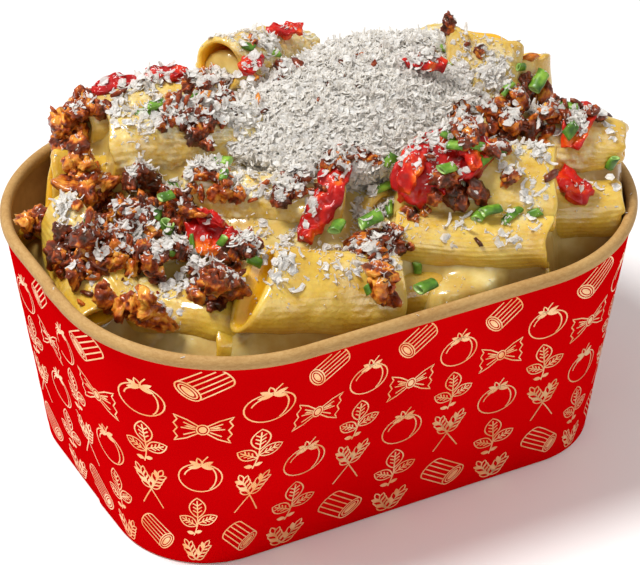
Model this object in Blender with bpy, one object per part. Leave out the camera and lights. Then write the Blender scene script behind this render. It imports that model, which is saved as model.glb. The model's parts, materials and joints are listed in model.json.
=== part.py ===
"""Rigatoni carbonara heaped in a takeaway paper bowl.

The pasta tubes are fused onto one core that fills the bowl. The grated cheese, the pancetta, the
tomato and the larger cut chives are separate closed pieces that lie on it with a small gap.
Lengths below are in millimetres and are turned into metres as each mesh is made.
"""

import math

import bmesh
import bpy
from mathutils import Matrix, Vector, noise

MM = 0.001
GAP = 0.35  # clearance between two pieces that lie on each other

# The paper bowl, a rounded rectangle that widens upwards.
BOWL_TOP = (172.0, 128.6)
BOWL_HEIGHT = 77.0
RIM_WIDTH = 3.3
RIM_TALL = 4.0
RIM_OVERHANG = 1.1
WALL_TOP = BOWL_HEIGHT - RIM_TALL
BASE_SIZE = (146.4, 97.2)
BASE_CORNER = 26.0
TOP_CORNER = 48.4
BOARD = 0.6
HEM = 1.4
HEM_TALL = 5.6
BASE_RECESS = 4.6
CORNER_STEPS = 8

# The food.
CORE_EDGE = 57.0
CORE_RISE = 30.0
PASTA_SIDES = 12
PASTA_RINGS = 5
PASTA_WALL = 1.9
MOUTH_DEPTH = 11.0

# Each tube: name, middle x y z, yaw, pitch, length, diameter, squash and roll of the first end,
# squash and roll of the last end, and which ends show a mouth.
RIGATONI = (
    ("back_left_big", (-30, 22, 90.5), -20, 1, 43, 18.5, (1.05, 90), (0.85, 90), "both"),
    ("middle_left", (-20.5, -6.5, 84.5), -34, -1, 43, 16.5, (0.9, 90), (1, 90), "first"),
    ("under_tomato", (-1.5, -8, 70), -60, 30, 40, 16, (1, 20), (0.8, 20), "none"),
    ("front_squashed", (-21, -43, 77), -15, -10, 41, 18, (0.6, 50), (0.8, 50), "first"),
    ("front_right", (24.5, -41.5, 79), -28, 0, 42, 16.5, (0.95, 0), (0.95, 0), "both"),
    ("second_right", (31, -33, 89), -34, 3, 42, 18, (0.9, 50), (0.5, 50), "last"),
    ("right_upper", (62, -21.5, 89), -37, 3, 40, 17.5, (1, 30), (0.9, 30), "last"),
    ("right_lower", (53, -33, 74), -17, 0, 42, 17.5, (1, 0), (0.95, 0), "last"),
    ("left_corner", (-49, 29, 74), -12, -15, 40, 17, (0.4, 62), (1, 62), "first"),
    ("back_left", (-36, 47, 78.5), -6, -6, 42, 17, (1, 0), (1, 0), "first"),
    ("back_left_top", (-32, 41, 92), -20, 3, 36, 17, (1, 0), (0.9, 0), "both"),
    ("left_front", (-72, 0.5, 74.5), -92, -11, 38, 17, (0.55, 80), (0.9, 80), "first"),
    ("front_left_low", (-54, -21, 67), -43, -2, 42, 17, (1, 0), (1, 0), "none"),
    ("left_under_pancetta", (-46, -2, 74), -20, 0, 36, 17, (1, 0), (1, 0), "none"),
    ("front_left_deep", (-31, -41, 61.5), -22, 0, 40, 16, (1, 0), (1, 0), "none"),
    ("front_low", (22, -44.5, 65.5), -15, 0, 42, 16, (1, 0), (1, 0), "first"),
    ("peak_flat", (52.5, 1, 94.5), 62, 60, 34, 17, (0.9, 0), (0.55, 0), "last"),
    ("peak_upright", (67, -1, 83), 75, 68, 38, 15.5, (1, 0), (0.8, 0), "last"),
    ("back_mouth", (5.5, 48.5, 93), 25, -20, 40, 16.5, (1, 0), (1, 0), "first"),
    ("back_right", (44, 43, 84), -8, 3, 42, 17, (0.9, 0), (1, 0), "both"),
    ("right_back", (65, 28, 76), -66, 0, 40, 17, (1, 0), (1, 0), "first"),
    ("left_back_low", (-58, 33, 64), 22, 0, 38, 17, (1, 0), (1, 0), "none"),
    ("middle_hidden", (22, 2, 84), 15, 4, 42, 17, (1, 0), (1, 0), "none"),
    ("back_low", (8, 49, 72), 10, 0, 42, 16, (1, 0), (1, 0), "none"),
)

# How far a slanted cut runs along the tube, for each millimetre across it.
SLANTED_ENDS = {"front_squashed": 0.4}

# The heap of grated cheese: middle, half sizes, turn, and height of its top.
CHEESE_MIDDLE = (21.0, 14.0)
CHEESE_REACH = (43.0, 30.0)
CHEESE_TURN = 12.0
CHEESE_TOP = 108.5
CHEESE_FALL = 15.0
CHEESE_RINGS = 7
CHEESE_STEPS = 26
CHEESE_LUMP = 1.6

# Each chunk of pancetta: middle x y z, three sizes, turn about Z.
PANCETTA = (
    ((-50, 48, 94), (14, 10, 8), 20),
    ((-58, 44, 87), (9, 8, 8), 60),
    ((-59.5, 27, 90), (8, 7, 11), 15),
    ((-61, 22, 84), (14, 11, 10), -20),
    ((-49, 15.5, 86), (10, 10, 10), 10),
    ((-76, 24, 77), (7, 8, 7), 30),
    ((-69, 0, 84.5), (12, 12, 9), -35),
    ((-61, -4, 79), (9, 7, 7), 0),
    ((-55, -12, 81), (8, 8, 7), 25),
    ((-66, -27, 74), (13, 9, 9), -30),
    ((-46, -33, 81), (12, 11, 10), 40),
    ((-36, -27, 86), (10, 8, 8), 0),
    ((-53, 5, 84), (14, 9, 7), -15),
    ((-44, -2, 88), (9, 10, 7), 30),
    ((38, -9, 97), (9, 9, 9), 15),
    ((49, -16, 98), (13, 9, 9), -25),
    ((62, 4, 103), (8, 7, 7), 20),
    ((20, -36, 97), (9, 8, 7), -10),
    ((-4, -37, 83), (11, 8, 7), -20),
    ((-9, -52, 84), (7, 8, 8), 10),
    ((-27, 15, 100.5), (7, 7, 5), 35),
    ((-22, 34, 101.5), (8, 8, 6), 0),
    ((60, -23, 99), (7, 7, 5), 50),
    ((-35, -1, 94), (13, 5, 4), -30),
    ((50, 13, 112.5), (3.6, 3.6, 9), 15),
)

# Each strip of tomato: middle x y z, length, width, thickness, turn, tilt, bend upwards.
TOMATO = (
    ((-11, -21, 93), 23, 8, 3.4, 62, -24, 2.5),
    ((20, -27, 100.5), 22, 15, 4.5, 32, 14, 4.0),
    ((62, -38, 84.5), 11, 9, 4, 10, -12, 1.5),
    ((-43, -18, 87.5), 15, 10, 4, -20, 8, 2.5),
    ((-41, 47, 101), 15, 8, 4.5, -20, 4, 1.5),
    ((-27, 44, 102), 13, 7, 4, -12, 6, 1.5),
    ((69, -23, 98.5), 15, 7, 3.6, 60, 10, 1.5),
    ((34, 4, 107.5), 10, 6, 3.2, -30, 0, 1.0),
    ((13, 47, 103.5), 10, 6, 3.6, -15, 0, 1.0),
    ((-6, 30, 104), 8, 5, 3.2, 15, 0, 0.8),
)

# Each large piece of chive: middle x y z, length, diameter, turn, tilt.
CHIVES = (
    ((-40, 26.5, 100), 7, 4.2, -30, 6),
    ((-49, -4, 93), 8, 4.6, -5, 4),
    ((-29, 3, 94.5), 6, 3.4, -40, 4),
    ((-12, -32, 88.5), 5, 3.6, 40, 10),
    ((-3.5, -35, 90), 8, 4.4, 5, 8),
    ((30, -36, 100), 7, 4.0, 20, 10),
    ((35, -34, 101), 9, 4.0, -30, 6),
    ((28, -45, 89.5), 6, 3.4, -10, 4),
    ((24, -33, 104.5), 6, 3.6, -35, 0),
    ((64, -25, 101.5), 6, 3.4, -45, 8),
    ((66, -6, 99), 8, 4.0, 30, 25),
    ((2, -56, 79.5), 6, 4.0, 5, 6),
)

COLOURS = {
    "paper": ((0.42, 0.01, 0.01), 0.35),
    "base": ((0.62, 0.42, 0.24), 0.7),
    "pasta": ((0.78, 0.60, 0.24), 0.35),
    "cheese": ((0.86, 0.85, 0.78), 0.75),
    "pancetta": ((0.36, 0.10, 0.03), 0.4),
    "tomato": ((0.62, 0.04, 0.02), 0.3),
    "chive": ((0.10, 0.32, 0.05), 0.4),
}


def clear_scene():
    for obj in list(bpy.data.objects):
        bpy.data.objects.remove(obj, do_unlink=True)


def collection(name):
    made = bpy.data.collections.new(name)
    bpy.context.scene.collection.children.link(made)
    return made


def material(name, colour):
    rgb, roughness = COLOURS[colour]
    made = bpy.data.materials.new(name)
    made.use_nodes = True
    shader = made.node_tree.nodes["Principled BSDF"]
    shader.inputs["Base Color"].default_value = (*rgb, 1.0)
    shader.inputs["Roughness"].default_value = roughness
    return made


def mesh_object(name, bm, into, colour=None):
    """One mesh object from a bmesh in millimetres, with its faces turned outwards."""
    bmesh.ops.recalc_face_normals(bm, faces=bm.faces)
    bmesh.ops.scale(bm, vec=(MM, MM, MM), verts=bm.verts)
    mesh = bpy.data.meshes.new(name)
    bm.to_mesh(mesh)
    bm.free()
    if colour:
        mesh.materials.append(material(name, colour))
    obj = bpy.data.objects.new(name, mesh)
    into.objects.link(obj)
    return obj


def corner_loop(half_x, half_y, corner, z, steps=CORNER_STEPS):
    """The points of a rounded rectangle, the same number at every size."""
    points = []
    for quarter in range(4):
        side_x = 1 if quarter in (0, 3) else -1
        side_y = 1 if quarter in (0, 1) else -1
        for step in range(steps + 1):
            angle = math.radians(90 * (quarter + step / steps))
            x = side_x * (half_x - corner) + corner * math.cos(angle)
            y = side_y * (half_y - corner) + corner * math.sin(angle)
            points.append(Vector((x, y, z)))
    return points


def wall_line(z):
    """Half sizes and corner radius of the bowl's outer face at this height."""
    share = z / WALL_TOP
    top_x = BOWL_TOP[0] / 2 - RIM_OVERHANG
    top_y = BOWL_TOP[1] / 2 - RIM_OVERHANG
    half_x = BASE_SIZE[0] / 2 + (top_x - BASE_SIZE[0] / 2) * share
    half_y = BASE_SIZE[1] / 2 + (top_y - BASE_SIZE[1] / 2) * share
    return half_x, half_y, BASE_CORNER + (TOP_CORNER - BASE_CORNER) * share


def wall_loop(z, inwards):
    half_x, half_y, corner = wall_line(z)
    return corner_loop(half_x - inwards, half_y - inwards, corner - inwards, z)


def rim_loop(angle):
    """A loop on the rolled rim. The angle goes from outwards, over the top, to inwards."""
    half_x, half_y, corner = wall_line(WALL_TOP)
    out = RIM_OVERHANG - RIM_WIDTH / 2 + RIM_WIDTH / 2 * math.cos(math.radians(angle))
    z = BOWL_HEIGHT - RIM_TALL / 2 + RIM_TALL / 2 * math.sin(math.radians(angle))
    return corner_loop(half_x + out, half_y + out, corner + out, z)


def loft(bm, loops, closed=False):
    """Quads between loops of the same length."""
    rows = [[bm.verts.new(point) for point in loop] for loop in loops]
    pairs = list(zip(rows, rows[1:]))
    if closed:
        pairs.append((rows[-1], rows[0]))
    for low, high in pairs:
        for index in range(len(low)):
            after = (index + 1) % len(low)
            bm.faces.new((low[index], low[after], high[after], high[index]))
    return rows


def cap(bm, row):
    """Closes a row of points with a fan round its middle."""
    middle = bm.verts.new(sum((vert.co for vert in row), Vector()) / len(row))
    for index in range(len(row)):
        bm.faces.new((row[index], row[(index + 1) % len(row)], middle))


def bowl_wall(into):
    bm = bmesh.new()
    loops = [wall_loop(z, 0) for z in (0, WALL_TOP / 2, WALL_TOP)]
    loops += [rim_loop(angle) for angle in (-50, 0, 45, 90, 135, 180, 230)]
    loops += [wall_loop(z, BOARD) for z in (WALL_TOP, WALL_TOP / 2, HEM_TALL + 1)]
    loops += [wall_loop(z, HEM) for z in (HEM_TALL, 0)]
    loft(bm, loops, closed=True)
    return mesh_object("bowl_wall", bm, into, "paper")


def bowl_base(into):
    bm = bmesh.new()
    rows = loft(bm, [wall_loop(z, HEM + GAP) for z in (BASE_RECESS, BASE_RECESS + BOARD)])
    cap(bm, rows[0])
    cap(bm, rows[1])
    return mesh_object("bowl_base", bm, into, "base")


def round_reach(x, y, half_x, half_y, corner):
    """How far out a point lies in a rounded rectangle: 0 in the middle, 1 at its edge."""
    low, high = 0.0, 2.0
    for _ in range(20):
        size = (low + high) / 2
        out_x = max(abs(x) - size * (half_x - corner), 0)
        out_y = max(abs(y) - size * (half_y - corner), 0)
        if math.hypot(out_x, out_y) > size * corner:
            low = size
        else:
            high = size
    return high


def core_height(x, y):
    """Height of the core's top, which the tubes lie in."""
    half_x, half_y, corner = wall_line(CORE_EDGE)
    reach = min(1.0, round_reach(x - 3, y - 4, half_x, half_y, corner))
    return CORE_EDGE + CORE_RISE * (1 - reach**2.5) + 7 * (y / 60) * (1 - reach)


def core(into, grow=0.0):
    """The solid mass of sauced pasta that fills the bowl, with a smooth domed top."""
    bm = bmesh.new()
    floor = BASE_RECESS + BOARD + GAP
    loops = [wall_loop(floor, HEM + 0.7), wall_loop(HEM_TALL + 3, BOARD + 0.5)]
    loops += [wall_loop(z, BOARD + 0.5) for z in (CORE_EDGE * 0.6, CORE_EDGE - 1)]
    edge = wall_loop(CORE_EDGE, BOARD + 0.5)
    for size in (0.93, 0.8, 0.64, 0.44, 0.22):
        loop = []
        for point in edge:
            x, y = point.x * size, point.y * size
            loop.append(Vector((x, y, core_height(x, y) + grow)))
        loops.append(loop)
    rows = loft(bm, loops)
    cap(bm, rows[0])
    cap(bm, rows[-1])
    return mesh_object("core", bm, into)


def press_inside(point):
    """Soft pasta gives way to the bowl: a point past the wall or the rim moves back inside."""
    half_x, half_y, corner = wall_line(min(max(point.z, 0), WALL_TOP))
    if point.z > WALL_TOP - 3:
        over = RIM_WIDTH - RIM_OVERHANG + 0.5 - 1.0 * max(0.0, point.z - BOWL_HEIGHT + 0.5)
    else:
        over = BOARD + 0.6
    half_x, half_y, corner = half_x - over, half_y - over, corner - over
    out_x = max(abs(point.x) - (half_x - corner), 0)
    out_y = max(abs(point.y) - (half_y - corner), 0)
    far = math.hypot(out_x, out_y)
    if far <= corner:
        return point
    x = math.copysign(min(abs(point.x), half_x - corner) + out_x * corner / far, point.x)
    y = math.copysign(min(abs(point.y), half_y - corner) + out_y * corner / far, point.y)
    return Vector((x, y, point.z))


def tube_ring(tube, share, shrink, grow=0.0):
    """One ring of a tube. The squash keeps the ring's length roughly the same."""
    _, middle, yaw, pitch, length, diameter, first, last, _ = tube
    turn = Matrix.Rotation(math.radians(yaw), 3, "Z") @ Matrix.Rotation(math.radians(-pitch), 3, "Y")
    squash = first[0] * (1 - share) + last[0] * share
    roll = math.radians(first[1] * (1 - share) + last[1] * share)
    radius = diameter / 2
    low = radius * squash
    wide = math.sqrt(2 * radius * radius - low * low)
    low, wide = low - shrink + grow, wide - shrink + grow
    along = (length + 2 * grow) * (share - 0.5)
    slant = SLANTED_ENDS.get(tube[0], 0.0) * (1 - share)
    points = []
    for side in range(PASTA_SIDES):
        angle = 2 * math.pi * side / PASTA_SIDES
        y, z = wide * math.cos(angle), low * math.sin(angle)
        across = y * math.cos(roll) - z * math.sin(roll)
        upwards = y * math.sin(roll) + z * math.cos(roll)
        point = turn @ Vector((along + slant * y, across, upwards)) + Vector(middle)
        points.append(point if grow else press_inside(point))
    return points


def rigatone(tube, into):
    """A ribbed tube as a plain squashed pipe, with a blind mouth at each end that shows."""
    name, length, mouths = tube[0], tube[4], tube[8]
    bm = bmesh.new()
    shares = [index / (PASTA_RINGS - 1) for index in range(PASTA_RINGS)]
    inner = MOUTH_DEPTH / length
    loops = [tube_ring(tube, share, 0) for share in shares]
    if mouths in ("first", "both"):
        loops = [tube_ring(tube, inner, PASTA_WALL), tube_ring(tube, 0, PASTA_WALL)] + loops
    if mouths in ("last", "both"):
        loops += [tube_ring(tube, 1, PASTA_WALL), tube_ring(tube, 1 - inner, PASTA_WALL)]
    rows = loft(bm, loops)
    cap(bm, rows[0])
    cap(bm, rows[-1])
    return mesh_object(name, bm, into)


def clear_tube(tube, into):
    """The room a tube takes, with the gap that a topping keeps from it."""
    bm = bmesh.new()
    shares = [index / (PASTA_RINGS - 1) for index in range(PASTA_RINGS)]
    rows = loft(bm, [tube_ring(tube, share, 0, GAP) for share in shares])
    cap(bm, rows[0])
    cap(bm, rows[-1])
    return mesh_object(tube[0] + "_room", bm, into)


def islands(bm):
    """The faces of each separate surface in the mesh."""
    left = set(bm.faces)
    found = []
    while left:
        start = left.pop()
        group, edge = [start], [start]
        while edge:
            face = edge.pop()
            for line in face.edges:
                for other in line.link_faces:
                    if other in left:
                        left.discard(other)
                        group.append(other)
                        edge.append(other)
        found.append(group)
    return found


def span(faces):
    points = [vert.co for face in faces for vert in face.verts]
    size = [max(p[axis] for p in points) - min(p[axis] for p in points) for axis in range(3)]
    return size[0] * size[1] * size[2]


def keep_largest(obj):
    """Drops loose scraps, and fills hollows that fusing has sealed."""
    bm = bmesh.new()
    bm.from_mesh(obj.data)
    bmesh.ops.remove_doubles(bm, verts=bm.verts, dist=0.002 * MM)
    bmesh.ops.triangulate(bm, faces=bm.faces)
    groups = islands(bm)
    groups.sort(key=span, reverse=True)
    for group in groups[1:]:
        bmesh.ops.delete(bm, geom=group, context="FACES_ONLY")
    bmesh.ops.delete(bm, geom=[v for v in bm.verts if not v.link_faces], context="VERTS")
    bm.to_mesh(obj.data)
    bm.free()


def apply_boolean(obj, operation, other, solver="MANIFOLD"):
    """Applies one Boolean with an object or with a whole collection."""
    boolean = obj.modifiers.new("boolean", "BOOLEAN")
    boolean.operation = operation
    boolean.solver = solver
    if isinstance(other, bpy.types.Collection):
        boolean.operand_type = "COLLECTION"
        boolean.collection = other
    else:
        boolean.object = other
    graph = bpy.context.evaluated_depsgraph_get()
    made = bpy.data.meshes.new_from_object(obj.evaluated_get(graph))
    obj.modifiers.clear()
    old = obj.data
    obj.data = made
    bpy.data.meshes.remove(old)


def remove_all(group):
    for obj in list(group.objects):
        bpy.data.objects.remove(obj, do_unlink=True)
    bpy.data.collections.remove(group)


def rigatoni_heap(into):
    """The core and the tubes as one closed solid."""
    pieces = collection("heap_pieces")
    heap = core(into)
    heap.name = "rigatoni_heap"
    heap.data.materials.append(material("rigatoni_heap", "pasta"))
    for tube in RIGATONI:
        rigatone(tube, pieces)
    for piece in list(pieces.objects):
        apply_boolean(heap, "UNION", piece)
    remove_all(pieces)
    keep_largest(heap)
    return heap


def heap_room():
    """The heap grown by the gap, which everything on top of it is cut with."""
    pieces = collection("room_pieces")
    cutters = collection("cutters")
    room = core(cutters, grow=GAP)
    room.name = "heap_room"
    room.hide_render = True
    room.display_type = "WIRE"
    for tube in RIGATONI:
        clear_tube(tube, pieces)
    for piece in list(pieces.objects):
        apply_boolean(room, "UNION", piece)
    remove_all(pieces)
    return room


def cheese_height(x, y, reach):
    lump = noise.noise(Vector((x, y, 3.0)) / 9.0) * CHEESE_LUMP
    lump += noise.noise(Vector((x, y, 9.0)) / 4.0) * CHEESE_LUMP * 0.5
    return CHEESE_TOP - CHEESE_FALL * reach**2 + lump


def cheese_solid(name, into, colour=None, grow=0.0):
    """A lumpy dome over the middle of the heap, down to the core."""
    turn = Matrix.Rotation(math.radians(CHEESE_TURN), 2)
    bm = bmesh.new()
    top, bottom = [], []
    for ring in range(CHEESE_RINGS, 0, -1):
        reach = ring / CHEESE_RINGS
        upper, lower = [], []
        for step in range(CHEESE_STEPS):
            angle = 2 * math.pi * step / CHEESE_STEPS
            wave = 1 + 0.05 * math.sin(3 * angle) + 0.04 * math.sin(5 * angle + 1)
            flat = Vector((math.cos(angle) * CHEESE_REACH[0], math.sin(angle) * CHEESE_REACH[1]))
            flat = turn @ (flat * reach * wave) + Vector(CHEESE_MIDDLE)
            flat += (flat - Vector(CHEESE_MIDDLE)).normalized() * grow
            upper.append(Vector((*flat, cheese_height(*flat, reach) + grow)))
            lower.append(Vector((*flat, core_height(*flat) - 4)))
        top.append(upper)
        if ring in (CHEESE_RINGS, 4, 1):
            bottom.append(lower)
    rows = loft(bm, bottom[::-1] + top)
    cap(bm, rows[0])
    cap(bm, rows[-1])
    return mesh_object(name, bm, into, colour)


def shape_noise(point, seed, scale):
    return noise.noise(point / scale + Vector((seed * 7.3, seed * 3.1, seed * 1.7)))


def pancetta_chunk(index, place, sizes, turn, into, grow=0.0):
    """A craggy fried dice: a cube whose corners are rounded and whose faces are uneven."""
    bm = bmesh.new()
    bmesh.ops.create_icosphere(bm, subdivisions=2, radius=1.0)
    spin = Matrix.Rotation(math.radians(turn), 3, "Z") @ Matrix.Rotation(0.5 * math.sin(index * 2.1), 3, "X")
    for vert in bm.verts:
        way = vert.co.normalized()
        square = max(abs(way.x), abs(way.y), abs(way.z))
        way = way * (1 + 0.35 * (1 / square - 1))
        way *= 0.95 + 0.3 * shape_noise(way, index + 1, 0.8)
        local = Vector([way[axis] * (sizes[axis] / 2) for axis in range(3)])
        local += local.normalized() * grow
        vert.co = spin @ local + Vector(place)
    return mesh_object(f"pancetta_{index + 1:02d}", bm, into, None if grow else "pancetta")


def tomato_strip(index, strip, into, grow=0.0):
    """A soft bent strip: a rounded slab that is thinner at its sides and rises in the middle."""
    place, length, width, thick, turn, tilt, bend = strip
    spin = Matrix.Rotation(math.radians(turn), 3, "Z") @ Matrix.Rotation(math.radians(-tilt), 3, "Y")
    bm = bmesh.new()
    loops = []
    for step in range(7):
        share = step / 6
        narrow = 0.45 + 0.55 * math.sin(math.pi * (0.1 + 0.8 * share))
        loop = []
        for side in range(10):
            angle = 2 * math.pi * side / 10
            wave = 1 + 0.25 * shape_noise(Vector((share * 3, side * 0.6, 0)), index + 20, 1.0)
            y = (width / 2 * narrow * wave + grow) * math.cos(angle)
            z = (thick / 2 * wave + grow) * math.sin(angle)
            z += bend * (math.sin(math.pi * share) - 0.5)
            y += 0.16 * length * math.sin(2 * math.pi * share + index) * 0.5
            x = (length + 2 * grow) * (share - 0.5)
            loop.append(spin @ Vector((x, y, z)) + Vector(place))
        loops.append(loop)
    rows = loft(bm, loops)
    cap(bm, rows[0])
    cap(bm, rows[-1])
    return mesh_object(f"tomato_{index + 1:02d}", bm, into, None if grow else "tomato")


def chive_piece(index, chive, into, grow=0.0):
    """A short length of the hollow leaf, cut on a slant, as a six-sided rod."""
    place, length, diameter, turn, tilt = chive
    spin = Matrix.Rotation(math.radians(turn), 3, "Z") @ Matrix.Rotation(math.radians(-tilt), 3, "Y")
    bm = bmesh.new()
    loops = []
    for share in (-0.5, 0.5):
        loop = []
        for side in range(6):
            angle = math.pi * side / 3
            y = (diameter / 2 + grow) * math.cos(angle)
            z = (diameter / 2.6 + grow) * math.sin(angle)
            x = share * (length + 2 * grow) + 0.5 * y
            loop.append(spin @ Vector((x, y, z)) + Vector(place))
        loops.append(loop)
    rows = loft(bm, loops)
    cap(bm, rows[0])
    cap(bm, rows[-1])
    return mesh_object(f"chive_{index + 1:02d}", bm, into, None if grow else "chive")


def box_of(obj):
    points = [vert.co for vert in obj.data.vertices]
    low = [min(p[axis] for p in points) for axis in range(3)]
    high = [max(p[axis] for p in points) for axis in range(3)]
    return low, high


def boxes_meet(first, second):
    return all(first[0][axis] < second[1][axis] and second[0][axis] < first[1][axis] for axis in range(3))


def settle(piece, rooms):
    """Cuts a topping clear of all that lies under it or beside it."""
    for room in rooms:
        if boxes_meet(box_of(piece), box_of(room)):
            apply_boolean(piece, "DIFFERENCE", room)
            keep_largest(piece)
        if not piece.data.vertices:
            raise RuntimeError(f"{piece.name} lies wholly inside {room.name}: move it up")


def toppings(into, rooms):
    """Pancetta, tomato and chives, each cut clear of the pieces laid before it."""
    cutters = bpy.data.collections["cutters"]
    makers = [(lambda grow, to, i=i, p=p: pancetta_chunk(i, *p, to, grow)) for i, p in enumerate(PANCETTA)]
    makers += [(lambda grow, to, i=i, s=s: tomato_strip(i, s, to, grow)) for i, s in enumerate(TOMATO)]
    makers += [(lambda grow, to, i=i, c=c: chive_piece(i, c, to, grow)) for i, c in enumerate(CHIVES)]
    for maker in makers:
        piece = maker(0.0, into)
        settle(piece, rooms)
        room = maker(GAP, cutters)
        room.hide_render = True
        room.display_type = "WIRE"
        rooms.append(room)


def main():
    clear_scene()
    bpy.context.scene.unit_settings.system = "METRIC"
    parts = collection("parts")
    bowl_wall(parts)
    bowl_base(parts)
    rigatoni_heap(parts)
    room = heap_room()
    cutters = bpy.data.collections["cutters"]
    mound = cheese_solid("parmesan_mound", parts, "cheese")
    settle(mound, [room])
    cheese_room = cheese_solid("cheese_room", cutters, None, GAP)
    cheese_room.hide_render = True
    cheese_room.display_type = "WIRE"
    toppings(parts, [room, cheese_room])
    remove_all(cutters)


main()
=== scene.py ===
"""Rigatoni carbonara heaped in a takeaway paper bowl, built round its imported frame.

Each piece is modelled in the frame's own axes: origin at the bottom centre of the bowl, X along
its long side, Z up. Lengths are in millimetres and become metres as each mesh is made.
"""

import json
import math

import bpy
import numpy as np
from bpy.props import FloatProperty, IntProperty, PointerProperty
from mathutils import Matrix, Vector, noise
from mathutils.bvhtree import BVHTree

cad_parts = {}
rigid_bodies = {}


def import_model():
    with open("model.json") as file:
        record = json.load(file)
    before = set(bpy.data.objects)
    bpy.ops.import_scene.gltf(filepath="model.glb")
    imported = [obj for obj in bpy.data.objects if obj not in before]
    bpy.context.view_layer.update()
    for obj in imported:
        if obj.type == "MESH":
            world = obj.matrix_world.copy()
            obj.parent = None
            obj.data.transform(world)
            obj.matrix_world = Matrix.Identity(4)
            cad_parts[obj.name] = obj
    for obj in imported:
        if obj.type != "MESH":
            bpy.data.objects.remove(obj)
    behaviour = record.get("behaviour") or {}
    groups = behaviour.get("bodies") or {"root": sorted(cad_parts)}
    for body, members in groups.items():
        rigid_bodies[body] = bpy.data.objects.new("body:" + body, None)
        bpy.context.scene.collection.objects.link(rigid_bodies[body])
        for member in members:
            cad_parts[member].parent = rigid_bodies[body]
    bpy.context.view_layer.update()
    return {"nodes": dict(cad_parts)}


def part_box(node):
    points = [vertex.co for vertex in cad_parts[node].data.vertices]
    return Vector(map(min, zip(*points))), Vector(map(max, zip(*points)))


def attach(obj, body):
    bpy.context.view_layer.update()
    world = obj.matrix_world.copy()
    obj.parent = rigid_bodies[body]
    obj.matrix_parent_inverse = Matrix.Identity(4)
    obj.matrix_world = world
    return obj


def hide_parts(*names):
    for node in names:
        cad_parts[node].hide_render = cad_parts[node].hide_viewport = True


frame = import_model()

bl_info = {
    "name": "Rigatoni Carbonara Bowl",
    "version": (1, 0, 0),
    "blender": (4, 5, 0),
    "location": "3D View > Sidebar > Carbonara",
    "description": "Builds a paper bowl heaped with rigatoni carbonara round its packed frame",
    "category": "Add Mesh",
}

MM = 0.001
BOWL_BOX = [[value / MM for value in corner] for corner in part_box("bowl_wall")]
BOWL_LENGTH = BOWL_BOX[1][0] - BOWL_BOX[0][0]
BOWL_WIDTH = BOWL_BOX[1][1] - BOWL_BOX[0][1]
BOWL_HEIGHT = BOWL_BOX[1][2]

# The paper bowl: a rounded rectangle that widens upwards to a rolled rim.
RIM_WIDTH = 3.3
RIM_TALL = 4.0
RIM_OVERHANG = 1.1
WALL_TOP = BOWL_HEIGHT - RIM_TALL
BASE_SIZE = (146.4, 97.2)
BASE_CORNER = 26.0
TOP_CORNER = 48.4
BOARD = 0.6
HEM = 1.4
HEM_TALL = 5.6
SEAM_POINT = (-83.7, -5.5)

# The food's core and the tubes, at the same places as the frame's solids.
CORE_EDGE = 57.0
CORE_RISE = 30.0

# Each tube: name, middle x y z, yaw, pitch, length, diameter, squash and roll of the first end,
# squash and roll of the last end.
RIGATONI = (
    ("back_left_big", (-30, 22, 90.5), -20, 1, 43, 18.5, (1.05, 90), (0.85, 90)),
    ("middle_left", (-20.5, -6.5, 84.5), -34, -1, 43, 16.5, (0.9, 90), (1, 90)),
    ("under_tomato", (-1.5, -8, 70), -60, 30, 40, 16, (1, 20), (0.8, 20)),
    ("front_squashed", (-21, -43, 77), -15, -10, 41, 18, (0.52, 50), (0.8, 50)),
    ("front_right", (24.5, -41.5, 79), -28, 0, 42, 16.5, (0.95, 0), (0.95, 0)),
    ("second_right", (31, -33, 89), -34, 3, 42, 18, (0.9, 50), (0.5, 50)),
    ("right_upper", (62, -21.5, 89), -37, 3, 40, 17.5, (1, 30), (0.9, 30)),
    ("right_lower", (53, -33, 74), -17, 0, 42, 17.5, (1, 0), (0.95, 0)),
    ("left_corner", (-49, 29, 74), -12, -15, 40, 17, (0.4, 62), (1, 62)),
    ("back_left", (-36, 47, 78.5), -6, -6, 42, 17, (1, 0), (1, 0)),
    ("back_left_top", (-32, 41, 89.5), -20, 3, 36, 17, (1, 0), (0.9, 0)),
    ("left_front", (-72, 0.5, 74.5), -92, -11, 38, 17, (0.55, 80), (0.45, 10)),
    ("front_left_low", (-54, -21, 67), -43, -2, 42, 17, (1, 0), (1, 0)),
    ("left_under_pancetta", (-46, -2, 74), -20, 0, 36, 17, (1, 0), (1, 0)),
    ("front_left_deep", (-31, -41, 61.5), -22, 0, 40, 16, (1, 0), (1, 0)),
    ("front_low", (22, -44.5, 65.5), -15, 0, 42, 16, (1, 0), (1, 0)),
    ("peak_flat", (52.5, 1, 94.5), 62, 60, 34, 17, (0.9, 0), (0.55, 0)),
    ("peak_upright", (64.5, -1, 83), 75, 68, 38, 15.5, (1, 0), (0.8, 0)),
    ("back_mouth", (5.5, 48.5, 93), 25, -20, 40, 16.5, (1, 0), (1, 0)),
    ("back_right", (44, 43, 84), -8, 3, 42, 17, (0.9, 0), (1, 0)),
    ("right_back", (65, 28, 76), -66, 0, 40, 17, (1, 0), (1, 0)),
    ("left_back_low", (-58, 33, 64), 22, 0, 38, 17, (1, 0), (1, 0)),
    ("middle_hidden", (22, 2, 84), 15, 4, 42, 17, (1, 0), (1, 0)),
    ("back_low", (8, 49, 72), 10, 0, 42, 16, (1, 0), (1, 0)),
)

# How far a slanted cut runs along the tube, for each millimetre across its wide and its thin way,
# at its first end and at its last.
SLANTED_ENDS = {"front_squashed": (0.4, 0.75, 0.0, 0.0), "peak_flat": (0.0, 0.0, 0.27, 0.0)}

# Tubes whose ridges the sauce has filled more, or less, than the others'.
RIDGE_SHARES = {
    "front_right": 0.6, "right_upper": 0.5, "right_lower": 0.4, "peak_flat": 0.5, "left_front": 0.5
}

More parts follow.
